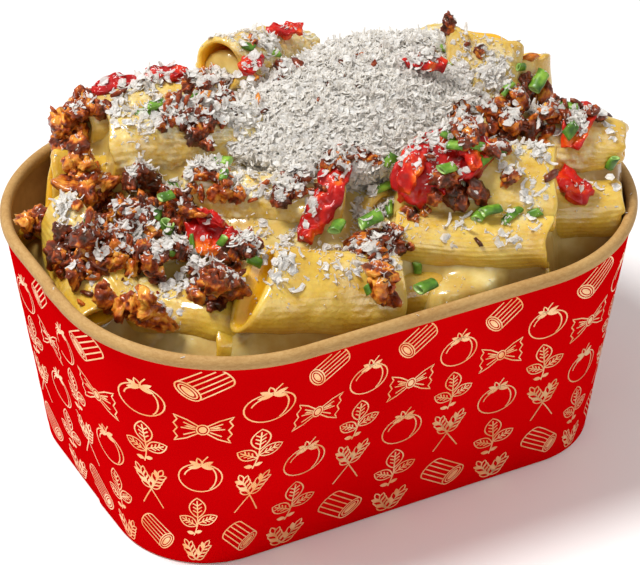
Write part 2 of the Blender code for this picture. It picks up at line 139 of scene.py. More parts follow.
# Tubes whose last end is drawn in, as the cooked pasta folds over it.
ROUND_ENDS = ("right_upper",)

# The heap of grated cheese: middle, half sizes, turn, and height of its top.
CHEESE_MIDDLE = (21.0, 14.0)
CHEESE_REACH = (43.0, 30.0)
CHEESE_TURN = 12.0
CHEESE_TOP = 106.8
CHEESE_FALL = 15.0

# Starts the noise that shapes the food, so that each run gives the same shapes.
NOISE_SEED = 1

# Each chunk of pancetta: middle x y z, three sizes, turn about Z, and how dark it is fried.
PANCETTA = (
    ((-50, 48, 94), (14, 10, 8), 20, 0.35),
    ((-58, 44, 87), (9, 8, 8), 60, 0.5),
    ((-59.5, 27, 90), (8, 7, 11), 15, 0.2),
    ((-61, 22, 84), (14, 11, 10), -20, 0.3),
    ((-49, 15.5, 86), (10, 10, 10), 10, 0.95),
    ((-76, 24, 77), (7, 8, 7), 30, 0.3),
    ((-69, 0, 84.5), (12, 12, 9), -35, 0.6),
    ((-61, -4, 79), (9, 7, 7), 0, 0.6),
    ((-55, -12, 81), (8, 8, 7), 25, 0.7),
    ((-66, -27, 74), (13, 9, 9), -30, 0.1),
    ((-46, -33, 81), (12, 11, 10), 40, 0.65),
    ((-36, -27, 86), (10, 8, 8), 0, 0.75),
    ((-53, 5, 84), (14, 9, 7), -15, 0.55),
    ((-44, -2, 88), (9, 10, 7), 30, 0.6),
    ((38, -9, 97), (9, 9, 9), 15, 0.45),
    ((49, -16, 98), (13, 9, 9), -25, 0.5),
    ((62, 4, 103), (8, 7, 7), 20, 0.55),
    ((20, -36, 97), (9, 8, 7), -10, 0.6),
    ((-4, -37, 83), (11, 8, 7), -20, 0.45),
    ((-9, -52, 84), (7, 8, 8), 10, 0.35),
    ((-27, 15, 100.5), (7, 7, 5), 35, 0.55),
    ((-22, 34, 99.5), (8, 8, 6), 0, 0.6),
    ((60, -23, 99), (7, 7, 5), 50, 0.4),
    ((-35, -1, 94), (13, 5, 4), -30, 0.4),
    ((47.2, 13, 112.5), (3.6, 3.6, 9), 15, 0.7),
)

# Each strip of tomato: middle x y z, length, width, thickness, turn, tilt, bend upwards.
TOMATO = (
    ((-11, -21, 93), 23, 8, 3.4, 62, -24, 2.5),
    ((20, -27, 100.5), 22, 17, 5.0, 32, 14, 4.0),
    ((62, -38, 84.5), 11, 7, 3.6, 10, -12, 1.5),
    ((-43, -18, 87.5), 15, 10, 4, -20, 8, 2.5),
    ((-40, 46.5, 97.2), 15, 6.5, 3.2, -20, 4, 1.0),
    ((-27, 43, 98.7), 13, 6.5, 3.2, -12, 6, 1.0),
    ((69, -23, 98.5), 15, 7, 3.6, 60, 10, 1.5),
    ((34, 4, 107.5), 10, 6, 3.2, -30, 0, 1.0),
    ((13, 47, 101.6), 10, 5.5, 2.8, -15, 0, 0.6),
    ((-6, 30, 104), 8, 5, 3.2, 15, 0, 0.8),
)

# Each large piece of chive: middle x y z, length, diameter, turn, tilt.
CHIVES = (
    ((-40, 26.5, 100), 7, 4.2, -30, 6),
    ((-49, -4, 93), 4.5, 3.2, -5, 4),
    ((-29, 3, 94.5), 6, 3.4, -40, 4),
    ((-12, -32, 88.5), 5, 3.6, 40, 10),
    ((-3.5, -35, 90), 8, 4.4, 5, 8),
    ((30, -36, 100), 7, 4.0, 20, 10),
    ((35, -34, 101), 9, 4.0, -30, 6),
    ((28, -45, 89.5), 6, 3.4, -10, 4),
    ((24, -33, 104.5), 6, 3.6, -35, 0),
    ((64, -25, 101.5), 6, 3.4, -45, 8),
    ((66, -6, 99), 8, 4.0, 30, 25),
    ((2, -56, 79.5), 6, 4.0, 5, 6),
)

# Smaller cuts of chive, each placed where it shows in the photograph's frame:
# picture x y, length, diameter, turn.
SMALL_CHIVES = (
    ((169, 227), 8.8, 4.8, -5),
    ((157, 212), 6.0, 2.8, 60),
    ((193, 245), 8.0, 1.6, 50),
    ((171, 252), 4.5, 1.8, -35),
    ((224, 241), 4.0, 2.6, 0),
    ((156, 108), 5.5, 3.8, -10),
    ((172, 186), 5.0, 3.0, -30),
    ((160, 212), 4.0, 2.6, 20),
    ((223, 176), 4.0, 2.6, 60),
    ((282, 160), 4.0, 3.0, 10),
    ((254, 259), 5.5, 3.2, -50),
    ((88, 221), 3.0, 2.4, 0),
    ((388, 162), 6.0, 3.4, 30),
    ((382, 191), 8.0, 3.6, 5),
    ((392, 210), 5.0, 3.2, 40),
    ((446, 138), 5.5, 3.6, -35),
    ((446, 171), 6.0, 3.6, 10),
    ((475, 147), 5.0, 3.2, -20),
    ((480, 217), 5.5, 3.6, 30),
    ((512, 217), 9.0, 2.8, 15),
    ((535, 212), 4.0, 2.8, 0),
    ((417, 267), 4.0, 2.6, 70),
    ((369, 289), 3.0, 2.4, 60),
    ((509, 90), 6.0, 3.0, 10),
    ((438, 53), 3.0, 3.6, 70),
    ((413, 40), 3.5, 2.6, 0),
    ((519, 66), 4.0, 2.8, 0),
    ((571, 130), 6.0, 3.6, 20),
    ((611, 161), 5.0, 3.0, 50),
    ((248, 48), 4.0, 2.8, -40),
    ((273, 55), 4.0, 2.6, 0),
    ((196, 96), 4.0, 2.6, 30),
    ((448, 68), 4.5, 2.2, 0),
)

# The photograph's camera.
PICTURE = (640, 565)
CAMERA_PLACE = (-0.34060, -0.63585, 0.54131)
CAMERA_RIGHT = (0.88139, -0.47238, 0.0)
CAMERA_UP = (0.26697, 0.49813, 0.82498)
CAMERA_BACK = (-0.38970, -0.72713, 0.56517)
CAMERA_ROLL = 0.669
CAMERA_LENS = 173.42
SENSOR = 36.0


def linear(hex_colour):
    """Turns an sRGB hex colour into the linear values that shaders take."""
    values = [int(hex_colour[start : start + 2], 16) / 255 for start in (1, 3, 5)]
    return tuple(v / 12.92 if v <= 0.04045 else ((v + 0.055) / 1.055) ** 2.4 for v in values) + (1.0,)


def add(tree, kind, inputs=None, stops=None, **settings):
    """Adds one node with its settings, its ramp's stops, and its input values and links."""
    node = tree.nodes.new(kind)
    for name, value in settings.items():
        setattr(node, name, value)
    for index, (place, colour) in enumerate(stops or ()):
        marks = node.color_ramp.elements
        mark = marks[index] if index < 2 else marks.new(place)
        mark.position = place
        mark.color = linear(colour) if isinstance(colour, str) else (colour, colour, colour, 1.0)
    for name, value in (inputs or {}).items():
        if isinstance(value, bpy.types.NodeSocket):
            tree.links.new(value, node.inputs[name])
        else:
            node.inputs[name].default_value = value
    return node


def new_material(name, **shader_values):
    """A material with one Principled shader, whose plain values are set on its own sockets."""
    made = bpy.data.materials.new(name)
    made.use_nodes = True
    tree = made.node_tree
    shader = tree.nodes["Principled BSDF"]
    for socket, value in shader_values.items():
        shader.inputs[socket.replace("_", " ")].default_value = value
    place = add(tree, "ShaderNodeTexCoord").outputs["Object"]
    return made, tree, shader, place


def printed_paper():
    """Clay-coated paperboard with a red offset print under clear varnish: even, saturated and
    smooth, with a soft gloss and a slight orange-peel from the fibres below."""
    made, tree, shader, place = new_material("red_printed_paperboard", Specular_IOR_Level=0.0)
    fibres = add(tree, "ShaderNodeTexNoise", {"Vector": place, "Scale": 900.0, "Detail": 3.0})
    clouds = add(tree, "ShaderNodeTexNoise", {"Vector": place, "Scale": 22.0, "Detail": 2.0})
    ink = add(
        tree,
        "ShaderNodeValToRGB",
        {"Fac": clouds.outputs["Fac"]},
        stops=((0.3, "#BE0004"), (0.7, "#CE0206")),
    )
    rough = add(tree, "ShaderNodeMapRange", {"Value": fibres.outputs["Fac"], "To Min": 0.4, "To Max": 0.55})
    bump = add(
        tree, "ShaderNodeBump", {"Height": fibres.outputs["Fac"], "Strength": 0.06, "Distance": 0.0002}
    )
    tree.links.new(ink.outputs["Color"], shader.inputs["Base Color"])
    tree.links.new(rough.outputs["Result"], shader.inputs["Roughness"])
    tree.links.new(bump.outputs["Normal"], shader.inputs["Normal"])
    return made


def kraft_board():
    """Unbleached kraft board: warm tan, matt, with short darker fibres and pale flecks."""
    made, tree, shader, place = new_material("unbleached_kraft_board", Roughness=0.72)
    stretch = add(tree, "ShaderNodeMapping", {"Vector": place, "Scale": (1.0, 1.0, 3.0)})
    fibres = add(
        tree,
        "ShaderNodeTexNoise",
        {"Vector": stretch.outputs["Vector"], "Scale": 650.0, "Detail": 5.0, "Roughness": 0.75},
    )
    blots = add(tree, "ShaderNodeTexNoise", {"Vector": place, "Scale": 60.0, "Detail": 3.0})
    flecks = add(
        tree,
        "ShaderNodeValToRGB",
        {"Fac": fibres.outputs["Fac"]},
        stops=((0.3, "#946830"), (0.62, "#C29C62"), (0.5, "#B28A4E")),
    )
    stain = add(
        tree,
        "ShaderNodeValToRGB",
        {"Fac": blots.outputs["Fac"]},
        stops=((0.35, "#A87C42"), (0.7, "#BA945A")),
    )
    blend = add(
        tree,
        "ShaderNodeMix",
        {0: 0.5, 6: flecks.outputs["Color"], 7: stain.outputs["Color"]},
        data_type="RGBA",
    )
    bump = add(
        tree, "ShaderNodeBump", {"Height": fibres.outputs["Fac"], "Strength": 0.2, "Distance": 0.0002}
    )
    tree.links.new(blend.outputs[2], shader.inputs["Base Color"])
    tree.links.new(bump.outputs["Normal"], shader.inputs["Normal"])
    return made


def painted_shade_kraft_board():
    """The same kraft board inside the bowl, coloured browner as painted shade for the shaded inner wall,
    and with a faint shine."""
    made, tree, shader, place = new_material("kraft_board_with_painted_shade", Roughness=0.5)
    blots = add(tree, "ShaderNodeTexNoise", {"Vector": place, "Scale": 90.0, "Detail": 5.0, "Roughness": 0.7})
    tone = add(
        tree, "ShaderNodeValToRGB", {"Fac": blots.outputs["Fac"]}, stops=((0.3, "#94683A"), (0.7, "#BC8F5A"))
    )
    bump = add(
        tree, "ShaderNodeBump", {"Height": blots.outputs["Fac"], "Strength": 0.15, "Distance": 0.0003}
    )
    tree.links.new(tone.outputs["Color"], shader.inputs["Base Color"])
    tree.links.new(bump.outputs["Normal"], shader.inputs["Normal"])
    return made


def gold_print():
    """Matt gold ink: pale tan lines that catch the light here and there."""
    made, tree, shader, place = new_material("gold_ink", Metallic=0.75, Roughness=0.3)
    spots = add(tree, "ShaderNodeTexNoise", {"Vector": place, "Scale": 160.0, "Detail": 2.0})
    tone = add(
        tree,
        "ShaderNodeValToRGB",
        {"Fac": spots.outputs["Fac"]},
        stops=((0.35, "#EBA566"), (0.68, "#F6D3A0")),
    )
    tree.links.new(tone.outputs["Color"], shader.inputs["Base Color"])
    return made


def cooked_pasta():
    """Cooked durum wheat pasta wet with sauce: pale yellow and slightly see-through, deeper
    yellow inside the tube, cream caught in the grooves, and a wet gloss."""
    made, tree, shader, place = new_material(
        "cooked_durum_wheat_pasta",
        IOR=1.42,
        Subsurface_Weight=0.3,
        Subsurface_Radius=(0.004, 0.0026, 0.001),
        Subsurface_Scale=1.0,
        Coat_Weight=0.8,
        Coat_Roughness=0.07,
    )
    melted = add(tree, "ShaderNodeAttribute", attribute_name="melted").outputs["Fac"]
    inside = add(tree, "ShaderNodeAttribute", attribute_name="inside").outputs["Fac"]
    groove = add(tree, "ShaderNodeAttribute", attribute_name="groove").outputs["Fac"]
    patches = add(
        tree, "ShaderNodeTexNoise", {"Vector": place, "Scale": 95.0, "Detail": 4.0, "Roughness": 0.6}
    )
    grain = add(tree, "ShaderNodeTexNoise", {"Vector": place, "Scale": 520.0, "Detail": 3.0})
    skin = add(
        tree,
        "ShaderNodeValToRGB",
        {"Fac": patches.outputs["Fac"]},
        stops=((0.28, "#BE8C1E"), (0.74, "#E2C254"), (0.5, "#D2A832")),
    )
    deep = add(
        tree, "ShaderNodeMix", {0: inside, 6: skin.outputs["Color"], 7: linear("#F0B216")}, data_type="RGBA"
    )
    creamy = add(tree, "ShaderNodeMath", {0: groove, 1: 0.2}, operation="MULTIPLY")
    coated = add(
        tree,
        "ShaderNodeMix",
        {0: creamy.outputs["Value"], 6: deep.outputs[2], 7: linear("#E8D892")},
        data_type="RGBA",
    )
    blobs = add(
        tree, "ShaderNodeTexNoise", {"Vector": place, "Scale": 420.0, "Detail": 4.0, "Roughness": 0.65}
    )
    patchy = add(
        tree, "ShaderNodeMapRange", {"Value": blobs.outputs["Fac"], "From Min": 0.35, "From Max": 0.6}
    )
    thick = add(tree, "ShaderNodeMath", {0: melted, 1: patchy.outputs["Result"]}, operation="MULTIPLY")
    cheesy = add(
        tree,
        "ShaderNodeMix",
        {0: thick.outputs[0], 6: coated.outputs[2], 7: linear("#E4D6AA")},
        data_type="RGBA",
    )
    wet = add(
        tree,
        "ShaderNodeMapRange",
        {"Value": patches.outputs["Fac"], "From Min": 0.35, "From Max": 0.65, "To Min": 0.2, "To Max": 0.42},
    )
    bump = add(
        tree, "ShaderNodeBump", {"Height": grain.outputs["Fac"], "Strength": 0.45, "Distance": 0.0007}
    )
    tree.links.new(cheesy.outputs[2], shader.inputs["Base Color"])
    tree.links.new(wet.outputs["Result"], shader.inputs["Roughness"])
    tree.links.new(bump.outputs["Normal"], shader.inputs["Normal"])
    return made


def cream_sauce():
    """Egg and cheese sauce: pale cream yellow, thick, glossy and slightly see-through."""
    made, tree, shader, place = new_material(
        "egg_and_cheese_sauce",
        IOR=1.4,
        Subsurface_Weight=0.3,
        Subsurface_Radius=(0.004, 0.0025, 0.001),
        Subsurface_Scale=1.0,
        Coat_Weight=0.7,
        Coat_Roughness=0.05,
    )
    swirl = add(tree, "ShaderNodeTexNoise", {"Vector": place, "Scale": 120.0, "Detail": 4.0})
    tone = add(
        tree,
        "ShaderNodeValToRGB",
        {"Fac": swirl.outputs["Fac"]},
        stops=((0.3, "#BC9440"), (0.7, "#E2CE8A"), (0.5, "#CEB060")),
    )
    # Painted shade: towards the bowl's wall the sauce colour is mixed to brown, for the shade the heap casts
    # there.
    shade = add(tree, "ShaderNodeAttribute", attribute_name="shade").outputs["Fac"]
    painted_wall_shade_mix = add(
        tree, "ShaderNodeMix", {0: shade, 6: tone.outputs["Color"], 7: linear("#7E5424")}, data_type="RGBA"
    )
    rough = add(tree, "ShaderNodeMapRange", {"Value": shade, "To Min": 0.28, "To Max": 0.65})
    bump = add(tree, "ShaderNodeBump", {"Height": swirl.outputs["Fac"], "Strength": 0.3, "Distance": 0.0008})
    tree.links.new(painted_wall_shade_mix.outputs[2], shader.inputs["Base Color"])
    tree.links.new(rough.outputs["Result"], shader.inputs["Roughness"])
    tree.links.new(bump.outputs["Normal"], shader.inputs["Normal"])
    return made


def grated_cheese():
    """Dry, finely grated hard cheese: off-white, matt and slightly see-through at the edges."""
    made, tree, shader, place = new_material(
        "grated_hard_cheese",
        Roughness=0.62,
        IOR=1.42,
        Subsurface_Weight=0.5,
        Subsurface_Radius=(0.0022, 0.002, 0.0017),
        Subsurface_Scale=1.0,
    )
    crumbs = add(tree, "ShaderNodeTexNoise", {"Vector": place, "Scale": 330.0, "Detail": 4.0})
    tone = add(
        tree,
        "ShaderNodeValToRGB",
        {"Fac": crumbs.outputs["Fac"]},
        stops=((0.3, "#D8D1C7"), (0.65, "#ECE6DC")),
    )
    bump = add(
        tree, "ShaderNodeBump", {"Height": crumbs.outputs["Fac"], "Strength": 0.5, "Distance": 0.0006}
    )
    tree.links.new(tone.outputs["Color"], shader.inputs["Base Color"])
    tree.links.new(bump.outputs["Normal"], shader.inputs["Normal"])
    return made


def fried_pancetta():
    """Cured pork belly fried crisp: streaks of dark lean meat and amber fat, brown on its edges and shiny
    with its own fat. The hollows of its crust carry painted shade."""
    made, tree, shader, place = new_material(
        "fried_cured_pork_belly",
        IOR=1.46,
        Specular_Tint=linear("#FFCB96"),
        Coat_Weight=0.55,
        Coat_Roughness=0.06,
        Subsurface_Weight=0.2,
        Subsurface_Radius=(0.004, 0.0012, 0.0004),
        Subsurface_Scale=1.0,
    )
    # The fried value holds the fried tone and the painted shade in the crust's hollows.
    fried = add(tree, "ShaderNodeAttribute", attribute_name="fried").outputs["Fac"]
    crest = add(tree, "ShaderNodeAttribute", attribute_name="crest").outputs["Fac"]
    streaks = add(
        tree,
        "ShaderNodeTexNoise",
        {"Vector": place, "Scale": 420.0, "Detail": 4.0, "Roughness": 0.65, "Distortion": 0.4},
    )
    pores = add(tree, "ShaderNodeTexVoronoi", {"Vector": place, "Scale": 800.0})
    mottle = add(tree, "ShaderNodeMath", {0: streaks.outputs["Fac"], 1: 0.7}, operation="MULTIPLY_ADD")
    mottle.inputs[2].default_value = -0.35
    bands = add(tree, "ShaderNodeMath", {0: mottle.outputs[0], 1: fried}, operation="ADD")
    meat = add(
        tree,
        "ShaderNodeValToRGB",
        {"Fac": bands.outputs[0]},
        stops=(
            (0.0, "#EAA440"),
            (1.0, "#1A0805"),
            (0.18, "#D0721E"),
            (0.34, "#983A12"),
            (0.5, "#66200C"),
            (0.66, "#4E1A0A"),
            (0.84, "#301009"),
        ),
    )
    toast = add(tree, "ShaderNodeMath", {0: crest, 1: 0.25}, operation="MULTIPLY")
    toasted = add(
        tree,
        "ShaderNodeMix",
        {0: toast.outputs[0], 6: meat.outputs["Color"], 7: linear("#4A1808")},
        data_type="RGBA",
    )
    rough = add(tree, "ShaderNodeMapRange", {"Value": streaks.outputs["Fac"], "To Min": 0.25, "To Max": 0.6})
    bump = add(
        tree, "ShaderNodeBump", {"Height": pores.outputs["Distance"], "Strength": 0.6, "Distance": 0.0006}
    )
    tree.links.new(toasted.outputs[2], shader.inputs["Base Color"])
    tree.links.new(rough.outputs["Result"], shader.inputs["Roughness"])
    tree.links.new(bump.outputs["Normal"], shader.inputs["Normal"])
    return made


def roasted_tomato():
    """Peeled, roasted tomato: deep red wet flesh with orange where the skin came off."""
    made, tree, shader, place = new_material(
        "roasted_tomato_flesh",
        IOR=1.36,
        Roughness=0.4,
        Specular_IOR_Level=0.3,
        Coat_Weight=0.45,
        Coat_Roughness=0.07,
        Subsurface_Weight=0.2,
        Subsurface_Radius=(0.005, 0.0008, 0.0003),
        Subsurface_Scale=1.0,
    )
    flesh = add(
        tree, "ShaderNodeTexNoise", {"Vector": place, "Scale": 130.0, "Detail": 4.0, "Distortion": 0.4}
    )
    grain = add(tree, "ShaderNodeTexNoise", {"Vector": place, "Scale": 520.0, "Detail": 3.0})
    peeled = add(tree, "ShaderNodeAttribute", attribute_name="peeled").outputs["Fac"]
    bared = add(tree, "ShaderNodeMath", {0: flesh.outputs["Fac"], 1: peeled}, operation="ADD")
    tone = add(
        tree,
        "ShaderNodeValToRGB",
        {"Fac": bared.outputs[0]},
        stops=((0.3, "#7A0404"), (0.72, "#EE7A1C"), (0.45, "#A80806"), (0.55, "#C01608"), (0.62, "#D8400C")),
    )
    bump = add(tree, "ShaderNodeBump", {"Height": grain.outputs["Fac"], "Strength": 0.5, "Distance": 0.0009})
    tree.links.new(tone.outputs["Color"], shader.inputs["Base Color"])
    tree.links.new(bump.outputs["Normal"], shader.inputs["Normal"])
    return made


def chive_leaf():
    """Fresh chive: a smooth waxy green tube with fine lengthwise veins, paler inside."""
    made, tree, shader, place = new_material(
        "fresh_chive_leaf",
        IOR=1.4,
        Roughness=0.38,
        Coat_Weight=0.25,
        Coat_Roughness=0.25,
        Subsurface_Weight=0.15,
        Subsurface_Radius=(0.0006, 0.0016, 0.0004),
        Subsurface_Scale=1.0,
    )
    inside = add(tree, "ShaderNodeAttribute", attribute_name="inside").outputs["Fac"]
    veins = add(tree, "ShaderNodeTexNoise", {"Vector": place, "Scale": 260.0, "Detail": 3.0})
    tone = add(
        tree,
        "ShaderNodeValToRGB",
        {"Fac": veins.outputs["Fac"]},
        stops=((0.3, "#2E5010"), (0.7, "#8CB43C"), (0.5, "#56821E")),
    )
    cut = add(
        tree, "ShaderNodeMix", {0: inside, 6: tone.outputs["Color"], 7: linear("#A9C774")}, data_type="RGBA"
    )
    tree.links.new(cut.outputs[2], shader.inputs["Base Color"])
    return made


def pale_floor():
    """A seamless sheet of white studio paper, matt."""
    made, tree, shader, place = new_material("white_studio_paper", Roughness=0.85)
    cloud = add(tree, "ShaderNodeTexNoise", {"Vector": place, "Scale": 3.0, "Detail": 2.0})
    tone = add(
        tree, "ShaderNodeValToRGB", {"Fac": cloud.outputs["Fac"]}, stops=((0.3, "#F2F1EF"), (0.7, "#F6F5F3"))
    )
    tree.links.new(tone.outputs["Color"], shader.inputs["Base Color"])
    return made


MATERIAL_MAKERS = {
    "print": printed_paper,
    "kraft": kraft_board,
    "shaded_inner_kraft": painted_shade_kraft_board,
    "gold": gold_print,
    "pasta": cooked_pasta,
    "sauce": cream_sauce,
    "cheese": grated_cheese,
    "pancetta": fried_pancetta,
    "tomato": roasted_tomato,
    "chive": chive_leaf,
    "floor": pale_floor,
}
FINISHES = {}


def finish_of(name):
    if name not in FINISHES:
        FINISHES[name] = MATERIAL_MAKERS[name]()
    return FINISHES[name]


def volume_of(points, faces):
    """Signed volume of a closed mesh, whose sign tells which way its faces point."""
    first = points[faces[:, 0]]
    total = 0.0
    for corner in range(1, faces.shape[1] - 1):
        second, third = points[faces[:, corner]], points[faces[:, corner + 1]]
        total += np.einsum("ij,ij->i", first, np.cross(second, third)).sum()
    return total / 6


def lofted(rows, around=False, caps=True):
    """Quads between rows of the same length. The rows close into a ring, or their ends are capped."""
    rows = np.asarray(rows, float)
    count, length = rows.shape[:2]
    points = rows.reshape(-1, 3)
    index = np.arange(count * length).reshape(count, length)
    if around:
        low, high = index, np.roll(index, -1, axis=0)
    else:
        low, high = index[:-1], index[1:]
    after = lambda grid: np.roll(grid, -1, axis=1)
    quads = np.stack([low, after(low), after(high), high], axis=-1).reshape(-1, 4)
    if around or not caps:
        return points, [quads]
    middles = np.array([rows[0].mean(axis=0), rows[-1].mean(axis=0)])
    first, last = count * length, count * length + 1
    fans = []
    for ring, middle, turned in ((index[0], first, True), (index[-1], last, False)):
        beside = np.roll(ring, -1)
        pair = (beside, ring) if turned else (ring, beside)
        fans.append(np.stack([pair[0], pair[1], np.full(length, middle)], axis=-1))
    return np.vstack([points, middles]), [quads, np.vstack(fans)]


def facing_out(points, groups):
    """Turns every face round if the closed mesh is inside out."""
    if sum(volume_of(points, group) for group in groups) < 0:
        return [group[:, ::-1] for group in groups]
    return groups


def joined(parts):
    """Several (points, face groups, values) as one. The values are dicts of numbers for each point."""
    points, groups, values = [], {}, {}
    start = 0
    for part_points, part_groups, part_values in parts:
        points.append(part_points)
        for group in part_groups:
            groups.setdefault(group.shape[1], []).append(group + start)
        for name, numbers in part_values.items():
            values.setdefault(name, []).append(numbers)
        start += len(part_points)
    stacked = {name: np.concatenate(numbers) for name, numbers in values.items()}
    return np.vstack(points), [np.vstack(group) for group in groups.values()], stacked


def new_object(name, data):
    """A new object in the scene, at the origin."""
    made = bpy.data.objects.new(name, data)
    bpy.context.scene.collection.objects.link(made)
    return made


def make_piece(name, points, groups, finish, values=None, smooth=True, more=None):
    """One mesh object from points in millimetres, with its values as point attributes."""
    mesh = bpy.data.meshes.new(name)
    faces = [tuple(face) for group in groups for face in group.tolist()]
    mesh.from_pydata((np.asarray(points) * MM).tolist(), [], faces)
    for value_name, numbers in (values or {}).items():
        attribute = mesh.attributes.new(value_name, "FLOAT", "POINT")
        attribute.data.foreach_set("value", np.asarray(numbers, np.float32))
    mesh.materials.append(finish_of(finish))
    if more:
        for other in more[0]:
            mesh.materials.append(finish_of(other))
        mesh.polygons.foreach_set("material_index", np.asarray(more[1], np.int32))
    mesh.polygons.foreach_set("use_smooth", np.full(len(faces), smooth))
    mesh.update()
    return new_object(name, mesh)


def belongs(piece, slot, *nodes):
    """Parents the piece to the frame's root body and hides the nodes it stands for. The slot is not used."""
    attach(piece, "root")
    if nodes:
        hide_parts(*nodes)
    return piece


def wander(points, scale, size, seed=0.0):
    """A smooth random shift for each point, with bumps of about this scale."""
    noise.seed_set(NOISE_SEED)
    shift = Vector((seed * 7.3, seed * 3.1, seed * 1.7))
    made = [noise.noise_vector(Vector(point) / scale + shift) for point in np.asarray(points).tolist()]
    return np.array(made) * size


def lumps(points, scale, seed=0.0):
    """A smooth random number for each point."""
    shift = Vector((seed * 7.3, seed * 3.1, seed * 1.7))
    return np.array([noise.noise(Vector(point) / scale + shift) for point in np.asarray(points).tolist()])


def turned(yaw, pitch):
    """Turns X by a yaw about Z after a rise of this pitch."""
    return np.array(
        Matrix.Rotation(math.radians(yaw), 3, "Z") @ Matrix.Rotation(math.radians(-pitch), 3, "Y")
    )


def wall_line(z):
    """Half sizes and corner radius of the bowl's outer face at this height."""
    share = np.asarray(z, float) / WALL_TOP
    top_x = BOWL_LENGTH / 2 - RIM_OVERHANG
    top_y = BOWL_WIDTH / 2 - RIM_OVERHANG
    half_x = BASE_SIZE[0] / 2 + (top_x - BASE_SIZE[0] / 2) * share
    half_y = BASE_SIZE[1] / 2 + (top_y - BASE_SIZE[1] / 2) * share
    return half_x, half_y, BASE_CORNER + (TOP_CORNER - BASE_CORNER) * share


def on_outline(places, half_x, half_y, corner):
    """Points and outward directions on a rounded rectangle. Its four corners and four sides each
    take one unit of place, starting with the corner at +X +Y."""
    places = np.asarray(places, float) % 8
    part = np.floor(places).astype(int)
    along = places - part
    quarter = part // 2
    bend = part % 2 == 0
    angle = np.pi / 2 * (quarter + np.where(bend, along, 1.0))
    side_x, side_y = np.array([1, -1, -1, 1]), np.array([1, 1, -1, -1])
    later = (quarter + 1) % 4
    slide = np.where(bend, 0.0, along)
    middle_x = (side_x[quarter] + (side_x[later] - side_x[quarter]) * slide) * (half_x - corner)
    middle_y = (side_y[quarter] + (side_y[later] - side_y[quarter]) * slide) * (half_y - corner)
    out = np.stack([np.cos(angle), np.sin(angle)], axis=-1)
    flat = np.stack([middle_x, middle_y], axis=-1) + out * np.asarray(corner)[..., None]
    return flat, out


class Outline:
    """Turns millimetres round the wall at half its height into places on its outline."""

    def __init__(self):
        half_x, half_y, corner = wall_line(WALL_TOP / 2)
        bend = math.pi / 2 * corner
        sides = [bend, 2 * (half_x - corner), bend, 2 * (half_y - corner)] * 2
        self.marks = np.concatenate([[0.0], np.cumsum(sides)])
        self.length = self.marks[-1]

    def place(self, distance):
        return np.interp(np.asarray(distance) % self.length, self.marks, np.arange(9.0))

    def distance(self, place):
        return np.interp(np.asarray(place) % 8, np.arange(9.0), self.marks)

    def nearest(self, x, y, z):
        tried = np.linspace(0, 8, 4001)[:-1]
        flat, _ = on_outline(tried, *wall_line(z))
        return tried[np.argmin(np.hypot(flat[:, 0] - x, flat[:, 1] - y))]

    def surface(self, places, heights, shift, settings):
        """Points on the outer face, this far out from it, with the board's slow waves and its lap."""
        places = np.asarray(places, float)
        heights = np.broadcast_to(np.asarray(heights, float), places.shape)
        half_x, half_y, corner = wall_line(np.minimum(heights, WALL_TOP))
        flat, out = on_outline(places, half_x + shift, half_y + shift, corner + shift)
        solid = np.column_stack([flat, heights])
        bow = lumps(solid, 45.0) * settings.wall_waviness * np.clip(heights / 12, 0, 1)
        seam = self.nearest(*SEAM_POINT, WALL_TOP)
        past_seam = (self.distance(places) - self.distance(seam)) % self.length
        lap = settings.seam_step * np.clip(1 - past_seam / 16.0, 0, 1)
        if shift < -BOARD + 0.05:
            lap = lap * (heights > WALL_TOP)
        return np.column_stack([flat + out * (bow + lap)[:, None], heights])


def press_inside(points):
    """Soft pasta gives way to the bowl: a point past the wall or the rim moves back inside."""
    points = np.array(points, float)
    x, y, z = points[:, 0], points[:, 1], points[:, 2]
    half_x, half_y, corner = wall_line(np.clip(z, 0, WALL_TOP))
    by_rim = RIM_WIDTH - RIM_OVERHANG + 0.5 - np.maximum(0.0, z - BOWL_HEIGHT + 0.5)
    over = np.where(z > WALL_TOP - 3, by_rim, BOARD + 0.6)
    half_x, half_y, corner = half_x - over, half_y - over, corner - over
    out_x = np.maximum(np.abs(x) - (half_x - corner), 0)
    out_y = np.maximum(np.abs(y) - (half_y - corner), 0)
    far = np.maximum(np.hypot(out_x, out_y), 1e-9)
    past = far > corner
    new_x = np.sign(x) * (np.minimum(np.abs(x), half_x - corner) + out_x * corner / far)
    new_y = np.sign(y) * (np.minimum(np.abs(y), half_y - corner) + out_y * corner / far)
    points[:, 0] = np.where(past, new_x, x)
    points[:, 1] = np.where(past, new_y, y)
    return points


def round_reach(x, y, half_x, half_y, corner):
    """How far out a point lies in a rounded rectangle: 0 in the middle, 1 at its edge."""
    low, high = np.zeros_like(x), np.full_like(x, 2.0)
    for _ in range(20):
        size = (low + high) / 2
        out_x = np.maximum(np.abs(x) - size * (half_x - corner), 0)
        out_y = np.maximum(np.abs(y) - size * (half_y - corner), 0)
        outside = np.hypot(out_x, out_y) > size * corner
        low, high = np.where(outside, size, low), np.where(outside, high, size)
    return high


def core_height(x, y):
    """Height of the sauced mass that the tubes lie in."""
    x, y = np.asarray(x, float), np.asarray(y, float)
    reach = np.minimum(1.0, round_reach(x - 3, y - 4, *wall_line(CORE_EDGE)))
    return CORE_EDGE + CORE_RISE * (1 - reach**2.5) + 7 * (y / 60) * (1 - reach)


# What has been laid so far, as points and faces, so that later pieces can lie on it.
LAID = []
BOWL_SURFACE = []
# Places that little cheese falls on: middle, reach, and how much less of it falls there.
KEPT_CLEAR = []
CLEAR_OF_TOMATO = (3.4, 0.85)
CLEAR_OF_CHIVE = (3.6, 0.9)
CLEAR_OF_SMALL_CHIVE = (2.6, 0.85)


def lay(points, groups):
    """Notes a piece's surface, for later food to lie on."""
    LAID.append((np.asarray(points, float), [face for group in groups for face in group.tolist()]))


